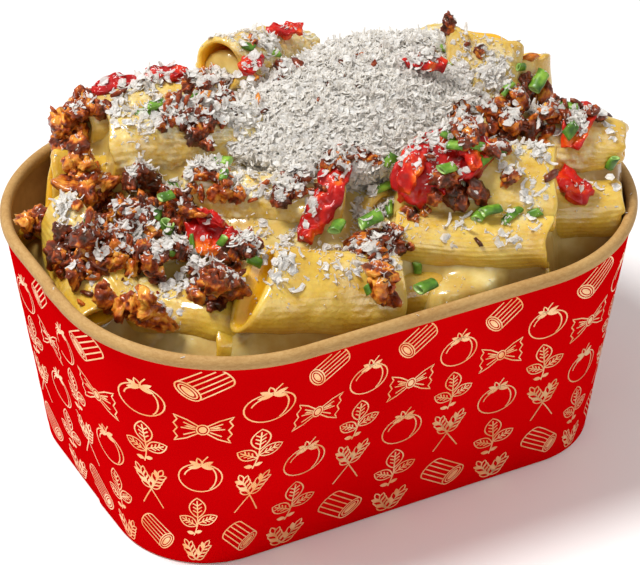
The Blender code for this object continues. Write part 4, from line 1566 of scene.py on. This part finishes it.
class BuildPancetta(bpy.types.Operator):
    """Builds the large chunks of fried pancetta"""

    bl_idname = "carbonara.build_pancetta"
    bl_label = "Pancetta"

    def execute(self, context):
        for index, shape in enumerate(PANCETTA):
            made = chunk(*shape, index)
            set_down(f"pancetta_chunk_{index + 1:02d}", made, "pancetta", f"pancetta_{index + 1:02d}")
        tree = laid_tree()
        parts = []
        for patch_index, (middle, spread, count, size, fried) in enumerate(BIT_FALLS):
            chance = np.random.default_rng(100 + patch_index)
            for _ in range(count):
                way = chance.normal(0, 0.55, 2)
                picture_place = (middle[0] + way[0] * spread[0], middle[1] + way[1] * spread[1])
                sizes = size * chance.uniform(0.55, 1.35) * chance.uniform(0.55, 1.2, 3)
                tone = min(1.0, max(0.0, fried + chance.normal(0, 0.15)))
                found = food_at(tree, picture_place, missing=True)
                if found is None:
                    continue
                point, normal = found
                point = point + normal * float(sizes.min()) * 0.25
                parts.append(chunk(point, sizes, chance.uniform(0, 360), tone, len(parts) + 200, 12))
        set_down("pancetta_bits", joined(parts), "pancetta")
        return {"FINISHED"}


# Where the strips that show best lie: picture points along the middle of each.
TOMATO_PATHS = {
    0: ((346, 165), (333, 183), (328, 203), (314, 222), (304, 243)),
    1: ((406, 196), (424, 176), (445, 164), (464, 160), (482, 172)),
    2: ((563, 172), (567, 186), (577, 197), (589, 191)),
    3: ((190, 222), (204, 238), (220, 250), (234, 238)),
    6: ((584, 112), (581, 124), (576, 136), (571, 148)),
}


# Narrow strips that lie on or beside the large ones: picture points, width, thickness, and how far
# they have lost their skin.
NARROW_STRIPS = (
    (((403, 199), (408, 181), (416, 163), (426, 148)), 4.6, 2.4, 0.1),
    (((462, 152), (470, 160), (476, 170)), 4.5, 2.4, 0.14),
    (((196, 214), (208, 222), (222, 226)), 5.0, 2.6, 0.14),
    (((228, 232), (233, 244), (230, 258)), 5.0, 2.4, 0.0),
)
# How far each large strip has lost its skin.
PEELED = {3: 0.04, 6: 0.08, 9: 0.06}


def strip_frames(index, place, length, turn, tilt, bend, thick, tree, path=None):
    """Points along a strip's middle, with its forward, sideways and upward directions."""
    shares = np.linspace(0, 1, 40)
    path = path or TOMATO_PATHS.get(index)
    if path:
        marks = [food_at(tree, mark) for mark in path]
        along = np.linspace(0, 1, len(marks))
        points = np.array([tuple(point + normal * thick * 0.35) for point, normal in marks])
        ups = np.array([tuple(normal) for _, normal in marks])
        middle = np.column_stack([np.interp(shares, along, points[:, axis]) for axis in range(3)])
        up = np.column_stack([np.interp(shares, along, ups[:, axis]) for axis in range(3)])
        for _ in range(6):
            middle[1:-1] = (middle[:-2] + middle[1:-1] * 2 + middle[2:]) / 4
            up[1:-1] = (up[:-2] + up[1:-1] * 2 + up[2:]) / 4
    else:
        spin = turned(turn, tilt)
        rise = bend * (np.sin(np.pi * shares) - 0.5)
        sway = 0.08 * length * np.sin(2 * np.pi * shares + index)
        local = np.column_stack([length * (shares - 0.5), sway, rise])
        middle = local @ spin.T + np.array(place)
        up = np.tile(spin @ np.array([0.0, 0.0, 1.0]), (40, 1))
    forward = np.gradient(middle, axis=0)
    forward /= np.linalg.norm(forward, axis=1)[:, None]
    side = np.cross(up, forward)
    side /= np.linalg.norm(side, axis=1)[:, None]
    return middle, side, np.cross(forward, side)


def strip(place, length, width, thick, turn, tilt, bend, index, tree, path=None, peeled=None):
    """A soft folded strip of tomato, wrinkled across, with thin curled sides."""
    middle, side, up = strip_frames(index, place, length, turn, tilt, bend, thick, tree, path)
    KEPT_CLEAR.extend((middle[step], *CLEAR_OF_TOMATO) for step in range(4, 38, 5))
    rows = []
    for step, share in enumerate(np.linspace(0, 1, 40)):
        narrow = 0.45 + 0.55 * math.sin(math.pi * (0.1 + 0.8 * share))
        angle = 2 * math.pi * np.arange(44) / 44
        near = np.column_stack([np.full(44, share * 3), np.cos(angle) * 1.2, np.sin(angle) * 1.2])
        wave = 1 + 0.25 * lumps(near, 1.0, index + 20)
        flat_side = np.abs(np.sin(angle)) ** 0.75 * np.sign(np.sin(angle))
        y = width / 2 * narrow * wave * np.cos(angle)
        z = thick / 2 * wave * flat_side
        curl = (2 * y / width) ** 2 * thick * 0.28
        rows.append(middle[step] + np.outer(y, side[step]) + np.outer(z + curl, up[step]))
    rows = np.array(rows)
    flat = rows.reshape(-1, 3)
    creases = 1 - np.abs(lumps(flat, 2.2, index + 50)) * 2.2
    shift = wander(flat, 3.2, 1.3, index + 70) + wander(flat, 1.2, 0.3, index + 80)
    shift[:, 2] += 0.7 * np.clip(creases, 0, 1)
    points, groups = lofted((flat + shift).reshape(rows.shape))
    bare = np.full(len(points), PEELED.get(index, 0.0) if peeled is None else peeled)
    return points, facing_out(points, groups), {"peeled": bare}


class BuildTomato(bpy.types.Operator):
    """Builds the soft red strips of tomato"""

    bl_idname = "carbonara.build_tomato"
    bl_label = "Tomato"

    def execute(self, context):
        tree = laid_tree()
        for index, shape in enumerate(TOMATO):
            made = strip(*shape, index, tree)
            set_down(f"tomato_strip_{index + 1:02d}", made, "tomato", f"tomato_{index + 1:02d}")
        tree = laid_tree()
        parts = []
        for index, (path, width, thick, peeled) in enumerate(NARROW_STRIPS):
            parts.append(strip(None, None, width, thick, 0, 0, 0, index + 30, tree, path, peeled))
        set_down("narrow_tomato_strips", joined(parts), "tomato")
        return {"FINISHED"}


def cut_chive(place, length, diameter, spin, seed, slant=0.25):
    """A short hollow tube of leaf, cut on a slant and slightly flattened."""
    wall = 0.42
    plan = [(share, 0.0, 0.0) for share in np.linspace(0.03, 0.97, 6)]
    plan += [(1.0, wall * 0.5, 0.6), (0.97, wall, 1.0), (0.5, wall, 1.0), (0.03, wall, 1.0)]
    plan.append((0.0, wall * 0.5, 0.6))
    angle = 2 * math.pi * np.arange(22) / 22
    rows, inside = [], []
    for share, inset, depth in plan:
        y = (diameter / 2 - inset) * np.cos(angle)
        z = (diameter / 3.0 - inset) * np.sin(angle)
        x = length * (share - 0.5) + slant * y * (1 if seed % 2 else -1)
        rows.append(np.column_stack([x, y, z]))
        inside.append(np.full(len(angle), depth))
    rows = np.array(rows)
    flat = rows.reshape(-1, 3) + wander(rows.reshape(-1, 3), 3.0, 0.35, seed)
    points, groups = lofted((flat @ spin.T + np.array(place)).reshape(rows.shape), around=True)
    return points, facing_out(points, groups), {"inside": np.concatenate(inside)}


class BuildChives(bpy.types.Operator):
    """Builds the cut chives, large ones at their places and small ones where they show"""

    bl_idname = "carbonara.build_chives"
    bl_label = "Chives"

    def execute(self, context):
        for index, (place, length, diameter, turn, tilt) in enumerate(CHIVES):
            made = cut_chive(place, length * 0.85, diameter, turned(turn, tilt), index + 1)
            set_down(f"chive_cut_{index + 1:02d}", made, "chive", f"chive_{index + 1:02d}")
            KEPT_CLEAR.append((place, *CLEAR_OF_CHIVE))
        tree = laid_tree()
        parts = []
        for index, (picture_place, length, diameter, turn) in enumerate(SMALL_CHIVES):
            found = food_at(tree, picture_place, missing=True)
            if found is None:
                continue
            point, normal = found
            lean = Vector((0, 0, 1)).rotation_difference(normal).to_matrix()
            spin = np.array(lean) @ turned(turn, 4)
            KEPT_CLEAR.append((tuple(point), *CLEAR_OF_SMALL_CHIVE))
            middle = point + normal * diameter * 0.3
            parts.append(cut_chive(middle, length * 0.8, diameter * 0.9, spin, index + 20))
        set_down("small_chive_cuts", joined(parts), "chive")
        return {"FINISHED"}


def shred(length, width, curl, sides, twist):
    """One curled shaving of cheese: a thin, ragged three-sided strip bent into an arc."""
    rows = []
    for index in range(sides + 1):
        share = index / sides - 0.5
        angle = curl * share
        x = length * math.sin(angle) / max(curl, 0.01)
        z = length * (1 - math.cos(angle)) / max(curl, 0.01)
        lean = twist * share
        wide = width * (1 - 1.2 * share * share) * (1.0 if index % 2 else 0.72)
        section = np.array([(0, wide / 2, 0), (0, -wide / 2, 0), (0, 0.1 * wide, 0.16)])
        turn = np.array(Matrix.Rotation(lean, 3, "X")).T
        tilt = np.array(Matrix.Rotation(-angle, 3, "Y")).T
        rows.append(section @ turn @ tilt + np.array([x, 0, z]))
    points, groups = lofted(np.array(rows), caps=False)
    last = len(points) - 3
    groups = groups + [np.array([(2, 1, 0), (last, last + 1, last + 2)])]
    return points, facing_out(points, groups)


def crumb(size, seed):
    """One crumb of fried pancetta: a small broken splinter with few faces."""
    chance = np.random.default_rng(seed + 70)
    rows = ball_points(4)
    way = rows.reshape(-1, 3)
    facing = chance.normal(size=(7, 3))
    facing /= np.linalg.norm(facing, axis=1)[:, None]
    press = np.maximum(way @ facing.T, 0) / chance.uniform(0.5, 1.0, 7)
    reach = np.minimum((press**8).sum(axis=1) ** (-1 / 8), 1.3)
    shape = way * (size / 2) * reach[:, None] * np.array([1.5, 0.9, 0.6])
    points, groups = lofted(shape.reshape(rows.shape))
    return points, facing_out(points, groups)


def sample_pieces(name, shapes, finish):
    """A hidden collection of the shapes that are scattered, each fried a little darker than the last."""
    group = bpy.data.collections.new(name)
    for index, (points, groups) in enumerate(shapes):
        tone = 0.2 + 0.6 * index / len(shapes)
        extra = {}
        if finish == "pancetta":
            extra = {"fried": np.full(len(points), tone), "crest": np.full(len(points), 0.3)}
        piece = make_piece(f"{name}_{index + 1}", points, groups, finish, extra)
        bpy.context.scene.collection.objects.unlink(piece)
        group.objects.link(piece)
    return group


def scatter_tree():
    """A Geometry Nodes tree that scatters one collection's shapes over a surface."""
    tree = bpy.data.node_groups.new("scatter_on_food", "GeometryNodeTree")
    face = tree.interface
    face.new_socket("Geometry", in_out="OUTPUT", socket_type="NodeSocketGeometry")
    face.new_socket("Geometry", in_out="INPUT", socket_type="NodeSocketGeometry")
    for name, kind in (
        ("Shapes", "NodeSocketCollection"),
        ("Finish", "NodeSocketMaterial"),
        ("Density", "NodeSocketFloat"),
        ("Smallest", "NodeSocketFloat"),
        ("Largest", "NodeSocketFloat"),
        ("Lift", "NodeSocketFloat"),
        ("Tilt", "NodeSocketFloat"),
        ("Seed", "NodeSocketInt"),
    ):
        face.new_socket(name, in_out="INPUT", socket_type=kind)
    given = add(tree, "NodeGroupInput").outputs
    cover = add(tree, "GeometryNodeInputNamedAttribute", {"Name": "cover"}, data_type="FLOAT")
    thick = add(
        tree, "ShaderNodeMath", {0: cover.outputs["Attribute"], 1: given["Density"]}, operation="MULTIPLY"
    )
    spread = add(
        tree,
        "GeometryNodeDistributePointsOnFaces",
        {"Mesh": given["Geometry"], "Density": thick.outputs[0], "Seed": given["Seed"]},
    )
    lift = add(
        tree, "FunctionNodeRandomValue", {2: 0.0, 3: given["Lift"], "Seed": given["Seed"]}, data_type="FLOAT"
    )
    piled = add(
        tree, "ShaderNodeMath", {0: lift.outputs[1], 1: cover.outputs["Attribute"]}, operation="MULTIPLY"
    )
    raise_by = add(
        tree,
        "ShaderNodeVectorMath",
        {0: spread.outputs["Normal"], "Scale": piled.outputs[0]},
        operation="SCALE",
    )
    raised = add(
        tree,
        "GeometryNodeSetPosition",
        {"Geometry": spread.outputs["Points"], "Offset": raise_by.outputs["Vector"]},
    )
    low_turn = add(tree, "ShaderNodeMath", {0: given["Tilt"], 1: -1.0}, operation="MULTIPLY")
    low = add(
        tree, "ShaderNodeCombineXYZ", {"X": low_turn.outputs[0], "Y": low_turn.outputs[0], "Z": -math.pi}
    )
    high = add(tree, "ShaderNodeCombineXYZ", {"X": given["Tilt"], "Y": given["Tilt"], "Z": math.pi})
    turn = add(
        tree,
        "FunctionNodeRandomValue",
        {0: low.outputs[0], 1: high.outputs[0], "Seed": given["Seed"]},
        data_type="FLOAT_VECTOR",
    )
    spin = add(tree, "FunctionNodeEulerToRotation", {0: turn.outputs[0]})
    rotate = add(
        tree,
        "FunctionNodeRotateRotation",
        {0: spread.outputs["Rotation"], 1: spin.outputs[0]},
        rotation_space="LOCAL",
    )
    size = add(
        tree,
        "FunctionNodeRandomValue",
        {2: given["Smallest"], 3: given["Largest"], "Seed": given["Seed"]},
        data_type="FLOAT",
    )
    shapes = add(
        tree,
        "GeometryNodeCollectionInfo",
        {"Collection": given["Shapes"], "Separate Children": True, "Reset Children": True},
    )
    placed = add(
        tree,
        "GeometryNodeInstanceOnPoints",
        {
            "Points": raised.outputs["Geometry"],
            "Instance": shapes.outputs[0],
            "Pick Instance": True,
            "Rotation": rotate.outputs[0],
            "Scale": size.outputs[1],
        },
    )
    real = add(tree, "GeometryNodeRealizeInstances", {"Geometry": placed.outputs[0]})
    dressed = add(
        tree, "GeometryNodeSetMaterial", {"Geometry": real.outputs[0], "Material": given["Finish"]}
    )
    add(tree, "NodeGroupOutput", {0: dressed.outputs[0]})
    return tree


def scattered(name, carrier, shapes, slot, density, sizes, lift, tilt, seed, smooth=False):
    """Scatters shapes over the carrier, and bakes them into one plain mesh. The density counts them
    on a square millimetre, sizes are their least and greatest scale, and lift is in millimetres."""
    tree = bpy.data.node_groups.get("scatter_on_food") or scatter_tree()
    inputs = {
        "Shapes": shapes,
        "Finish": finish_of(slot),
        "Density": density * (1.0 / (MM * MM)),
        "Smallest": sizes[0],
        "Largest": sizes[1],
        "Lift": lift * MM,
        "Tilt": tilt,
        "Seed": seed,
    }
    modifier = carrier.modifiers.new("scatter", "NODES")
    modifier.node_group = tree
    for item in tree.interface.items_tree:
        if item.in_out == "INPUT" and item.name in inputs:
            modifier[item.identifier] = inputs[item.name]
    graph = bpy.context.evaluated_depsgraph_get()
    mesh = bpy.data.meshes.new_from_object(carrier.evaluated_get(graph))
    carrier.modifiers.clear()
    mesh.name = name
    mesh.polygons.foreach_set("use_smooth", np.full(len(mesh.polygons), smooth))
    piece = new_object(name, mesh)
    triangles = sum(len(face.vertices) - 2 for face in mesh.polygons)
    if triangles > MOST_TRIANGLES or triangles == 0:
        raise RuntimeError(f"{name} has {triangles} triangles")
    belongs(piece, slot)


def carrier_grid(name, xs, ys, heights, cover):
    """A hidden sheet over the food, whose cover tells how much falls on each place."""
    grid_x, grid_y = np.meshgrid(xs, ys, indexing="ij")
    points = np.column_stack([grid_x.ravel(), grid_y.ravel(), heights.ravel()])
    index = np.arange(points.shape[0]).reshape(heights.shape)
    quads = np.stack([index[:-1, :-1], index[1:, :-1], index[1:, 1:], index[:-1, 1:]], axis=-1).reshape(-1, 4)
    kept = cover.ravel()[quads].max(axis=1) > 0.001
    return make_piece(name, points, [quads[kept]], "cheese", {"cover": cover.ravel()})


def drop(obj):
    mesh = obj.data
    bpy.data.objects.remove(obj, do_unlink=True)
    bpy.data.meshes.remove(mesh)


# Where cheese has fallen thickly: picture x y, reach in picture points, and how thick.
CHEESE_FALLS = (
    ((340, 100), 95, 1.0),
    ((250, 75), 34, 1.1),
    ((230, 34), 13, 1.4),
    ((215, 74), 15, 1.3),
    ((280, 55), 30, 1.0),
    ((410, 60), 40, 1.2),
    ((445, 75), 26, 1.3),
    ((470, 85), 24, 1.3),
    ((490, 78), 20, 1.1),
    ((455, 105), 26, 1.1),
    ((430, 125), 30, 1.1),
    ((520, 95), 22, 0.7),
    ((545, 122), 22, 0.9),
    ((540, 145), 22, 0.55),
    ((505, 150), 24, 0.4),
    ((575, 118), 18, 0.9),
    ((570, 155), 14, 0.7),
    ((600, 135), 14, 0.35),
    ((450, 150), 16, 0.35),
    ((455, 180), 18, 0.45),
    ((430, 200), 18, 0.35),
    ((520, 205), 18, 0.35),
    ((515, 232), 14, 0.25),
    ((440, 230), 20, 0.25),
    ((200, 80), 26, 0.7),
    ((145, 88), 24, 0.7),
    ((225, 105), 26, 0.8),
    ((170, 115), 34, 0.7),
    ((125, 115), 22, 0.6),
    ((115, 150), 20, 0.35),
    ((180, 145), 30, 0.35),
    ((240, 140), 24, 0.7),
    ((255, 160), 24, 1.0),
    ((200, 165), 26, 1.0),
    ((165, 175), 22, 1.0),
    ((135, 168), 12, 0.9),
    ((235, 185), 22, 0.7),
    ((160, 200), 22, 0.8),
    ((290, 175), 24, 0.9),
    ((330, 150), 24, 0.9),
    ((300, 205), 20, 0.5),
    ((225, 235), 24, 0.7),
    ((255, 240), 20, 0.8),
    ((180, 245), 22, 0.9),
    ((190, 265), 20, 0.8),
    ((130, 235), 22, 0.8),
    ((90, 240), 20, 0.6),
    ((110, 215), 18, 0.5),
    ((70, 205), 12, 0.7),
    ((75, 235), 14, 0.5),
    ((90, 265), 14, 0.4),
    ((150, 285), 14, 0.6),
    ((160, 310), 18, 0.4),
    ((235, 285), 12, 0.5),
    ((95, 150), 14, 0.4),
    ((90, 110), 16, 0.3),
    ((275, 265), 14, 0.5),
    ((320, 235), 22, 0.5),
    ((350, 200), 24, 0.8),
    ((380, 175), 24, 1.0),
    ((385, 215), 22, 0.7),
    ((370, 240), 22, 0.6),
    ((350, 265), 16, 0.3),
    ((400, 262), 16, 0.4),
    ((378, 290), 16, 0.4),
    ((300, 300), 30, 0.06),
    ((475, 40), 22, 0.15),
    ((480, 74), 16, 1.2),
    ((590, 190), 30, 0.12),
    ((64, 290), 5, 0.25),
    ((615, 222), 4, 0.3),
    ((270, 350), 4, 0.25),
)

# Where pancetta crumbs have gathered: picture x y, reach in picture points, and how thick.
CRUMB_FALLS = (
    ((345, 75), 60, 0.35),
    ((150, 210), 55, 1.0),
    ((90, 240), 40, 0.9),
    ((90, 140), 45, 0.8),
    ((190, 110), 30, 0.8),
    ((235, 95), 30, 0.7),
    ((215, 270), 35, 0.8),
    ((260, 190), 30, 0.7),
    ((340, 165), 35, 0.8),
    ((380, 250), 35, 0.8),
    ((520, 110), 50, 1.0),
    ((440, 200), 35, 0.6),
    ((420, 60), 45, 0.35),
    ((290, 70), 35, 0.5),
    ((560, 140), 30, 0.4),
)


def falls_near(tree, falls, points, wider=1.0):
    """How much falls on each point: soft round patches round the places in the list."""
    scale = CAMERA_LENS / SENSOR * PICTURE[0] * MM / Vector(CAMERA_PLACE).length / wider
    cover = np.zeros(len(points))
    for picture_place, reach, thick in falls:
        found = food_at(tree, picture_place, missing=True)
        if found is None:
            continue
        near = ((points - np.array(found[0])) ** 2).sum(axis=1) / (reach / scale) ** 2
        cover = np.maximum(cover, thick * np.exp(-1.1 * near))
    return cover


def falls_cover(tree, falls, grid_x, grid_y, heights, wider=1.0):
    """The same for a grid of heights."""
    points = np.column_stack([grid_x.ravel(), grid_y.ravel(), heights.ravel()])
    return falls_near(tree, falls, points, wider).reshape(heights.shape)


def uncovered(grid_x, grid_y, heights):
    """How far each grid point lies clear of the chives and tomatoes, which show through the cheese."""
    points = np.column_stack([grid_x.ravel(), grid_y.ravel(), heights.ravel()])
    made = np.ones(len(points))
    for place, reach, share in KEPT_CLEAR:
        near = ((points - np.array(place)) ** 2).sum(axis=1) / reach**2
        made = np.minimum(made, 1 - share * np.exp(-near))
    return made.reshape(heights.shape)


# Each shape of shred and of fine flake: share of a full shred's length, width and curl in
# millimetres and radians, bends, and twist.
SHREDS = (
    (0.75, 1.5, 1.2, 3, 0.7),
    (0.6, 1.9, 1.6, 3, -0.8),
    (0.5, 2.1, 0.8, 2, 0.9),
    (0.4, 2.2, 1.2, 2, -0.5),
    (1.1, 0.8, 2.6, 4, 0.5),
    (0.3, 1.8, 0.6, 2, 0.6),
)
FLAKES = ((0.3, 0.9, 0.5, 1, 0.6), (0.22, 1.1, 0.7, 1, 0.6), (0.4, 0.7, 0.9, 1, 0.6))
# How far out over the rim cheese and crumbs still fall, as a share of the bowl's outer line.
CHEESE_EDGE = 1.01
CRUMB_EDGE = 0.96
# The mound's shreds start at this height and are at their thickest this much higher.
MOUND_FOOT = 88.0
MOUND_FADE = 4.0
MOST_TRIANGLES = 199000


class ScatterToppings(bpy.types.Operator):
    """Scatters the grated cheese over the mound and the food, and the pancetta crumbs"""

    bl_idname = "carbonara.scatter_toppings"
    bl_label = "Grated Cheese and Crumbs"

    def execute(self, context):
        settings = context.scene.carbonara_toppings
        long = settings.shred_length
        shreds = [shred(long * size, *rest) for size, *rest in SHREDS]
        shapes = sample_pieces("cheese_shreds", shreds, "cheese")
        crumbs = sample_pieces("pancetta_crumbs", [crumb(2.2, seed) for seed in range(8)], "pancetta")
        flakes = [shred(long * size, *rest) for size, *rest in FLAKES]
        flakes = sample_pieces("cheese_flakes", flakes, "cheese")
        tree = laid_tree()
        xs, ys, heights, _ = heights_from_above(tree, core_height, 0.8)
        grid_x, grid_y = np.meshgrid(xs, ys, indexing="ij")
        slope_x, slope_y = np.gradient(blurred(heights, 1), xs[1] - xs[0])
        gentle = np.clip(2.2 - np.hypot(slope_x, slope_y), 0, 1)
        reach = round_reach(grid_x, grid_y, *wall_line(WALL_TOP))
        open_ground = gentle * (reach < CHEESE_EDGE)
        patchy = lumps(np.column_stack([grid_x.ravel(), grid_y.ravel(), np.zeros(grid_x.size)]), 6.0, 3.0)
        patchy = np.clip(0.7 + patchy.reshape(heights.shape) * 1.2, 0.15, 1.3)
        cover = falls_cover(tree, CRUMB_FALLS, grid_x, grid_y, heights) * open_ground * (reach < CRUMB_EDGE)
        carrier = carrier_grid("crumb_carrier", xs, ys, heights, cover * patchy)
        name, many = "pancetta_crumb_scatter", settings.crumbs
        scattered(name, carrier, crumbs, "pancetta", many, (0.5, 1.7), 0.6, 1.5, 11, smooth=True)
        drop(carrier)
        open_ground = open_ground * uncovered(grid_x, grid_y, heights)
        cover = falls_cover(tree, CHEESE_FALLS, grid_x, grid_y, heights) * open_ground
        carrier = carrier_grid("shred_carrier", xs, ys, heights, cover * patchy)
        many = settings.fallen_shreds / 2
        for name, seed in (("fallen_cheese_one", 3), ("fallen_cheese_two", 4)):
            scattered(name, carrier, shapes, "cheese", many, (0.45, 1.5), 1.4, 0.5, seed)
        drop(carrier)
        cover = falls_cover(tree, CHEESE_FALLS, grid_x, grid_y, heights, 1.45) * open_ground
        carrier = carrier_grid("flake_carrier", xs, ys, heights, cover * patchy)
        name, many = "fine_cheese_scatter", settings.fine_flakes
        scattered(name, carrier, flakes, "cheese", many, (0.4, 1.1), 0.6, 1.2, 21)
        drop(carrier)
        carrier = new_object("mound_carrier", bpy.data.objects["grated_cheese_mound"].data.copy())
        heights_here = np.empty(len(carrier.data.vertices) * 3)
        carrier.data.vertices.foreach_get("co", heights_here)
        heights_here = heights_here.reshape(-1, 3)[:, 2] / MM
        attribute = carrier.data.attributes.new("cover", "FLOAT", "POINT")
        cover = np.clip((heights_here - MOUND_FOOT) / MOUND_FADE, 0, 1)
        attribute.data.foreach_set("value", cover.astype(np.float32))
        many = settings.mound_shreds / 2
        for name, seed in (("mound_cheese_one", 5), ("mound_cheese_two", 6)):
            scattered(name, carrier, shapes, "cheese", many, (0.4, 1.35), 1.5, 0.6, seed)
        drop(carrier)
        for group in (shapes, crumbs, flakes):
            for obj in list(group.objects):
                drop(obj)
            bpy.data.collections.remove(group)
        return {"FINISHED"}


# Each lamp: name, place, width in metres, share of the key's or the fill's power.
LAMPS = (
    ("key_lamp", (-0.5, 0.2, 1.15), 0.42, "key", 1.0),
    ("front_lamp", (-0.25, -1.2, 0.75), 0.8, "fill", 1.0),
    ("side_lamp", (1.0, -0.35, 0.7), 0.7, "fill", 0.7),
)


class BuildStage(bpy.types.Operator):
    """Sets the pale floor, the soft studio lamps and the photograph's camera"""

    bl_idname = "carbonara.build_stage"
    bl_label = "Studio"

    def execute(self, context):
        settings = context.scene.carbonara_stage
        half = settings.floor_size / MM
        flat = ((-half, -half), (half, -half), (half, half), (-half, half))
        corners = np.array([(x, y, -0.2) for x, y in flat])
        floor = make_piece("studio_floor", corners, [np.array([[0, 1, 2, 3]])], "floor", smooth=False)
        world = bpy.data.worlds.new("even_light")
        context.scene.world = world
        world.use_nodes = True
        world.node_tree.nodes["Background"].inputs["Color"].default_value = linear("#FFFFFF")
        world.node_tree.nodes["Background"].inputs["Strength"].default_value = settings.sky
        powers = {"key": settings.key, "fill": settings.fill}
        for name, place, width, kind, share in LAMPS:
            data = bpy.data.lights.new(name, "AREA")
            data.shape = "DISK"
            data.size = width
            data.energy = powers[kind] * share
            lamp = new_object(name, data)
            lamp.location = place
            aim = Vector((0, 0, 0.08)) - Vector(place)
            lamp.rotation_euler = aim.to_track_quat("-Z", "Y").to_euler()
        right, up, back = camera_axes()
        data = bpy.data.cameras.new("photograph_camera")
        data.lens = CAMERA_LENS
        data.sensor_width = SENSOR
        data.clip_start, data.clip_end = 0.05, 20.0
        camera = new_object("photograph_camera", data)
        turn = Matrix((right, up, back)).transposed().to_4x4()
        camera.matrix_world = Matrix.Translation(Vector(CAMERA_PLACE)) @ turn
        context.scene.camera = camera
        context.scene.view_settings.view_transform = "Standard"
        return {"FINISHED"}


STEPS = (
    BuildBowl,
    BuildPrint,
    BuildRigatoni,
    BuildSauce,
    BuildCheeseMound,
    BuildTomato,
    BuildPancetta,
    BuildChives,
    ScatterToppings,
    BuildStage,
)


class CarbonaraPanel(bpy.types.Panel):
    """Lists the steps that build the bowl of carbonara"""

    bl_idname = "VIEW3D_PT_carbonara"
    bl_label = "Rigatoni Carbonara"
    bl_space_type = "VIEW_3D"
    bl_region_type = "UI"
    bl_category = "Carbonara"

    def draw(self, context):
        for step in STEPS:
            self.layout.operator(step.bl_idname)


CLASSES = (*SETTINGS.values(), *STEPS, CarbonaraPanel)


def register():
    for made in CLASSES:
        bpy.utils.register_class(made)
    for name, group in SETTINGS.items():
        setattr(bpy.types.Scene, name, PointerProperty(type=group))


def unregister():
    for name in SETTINGS:
        delattr(bpy.types.Scene, name)
    for made in reversed(CLASSES):
        bpy.utils.unregister_class(made)


def main():
    register()
    for step in STEPS:
        group, name = step.bl_idname.split(".")
        getattr(getattr(bpy.ops, group), name)()


if __name__ == "__main__":
    main()
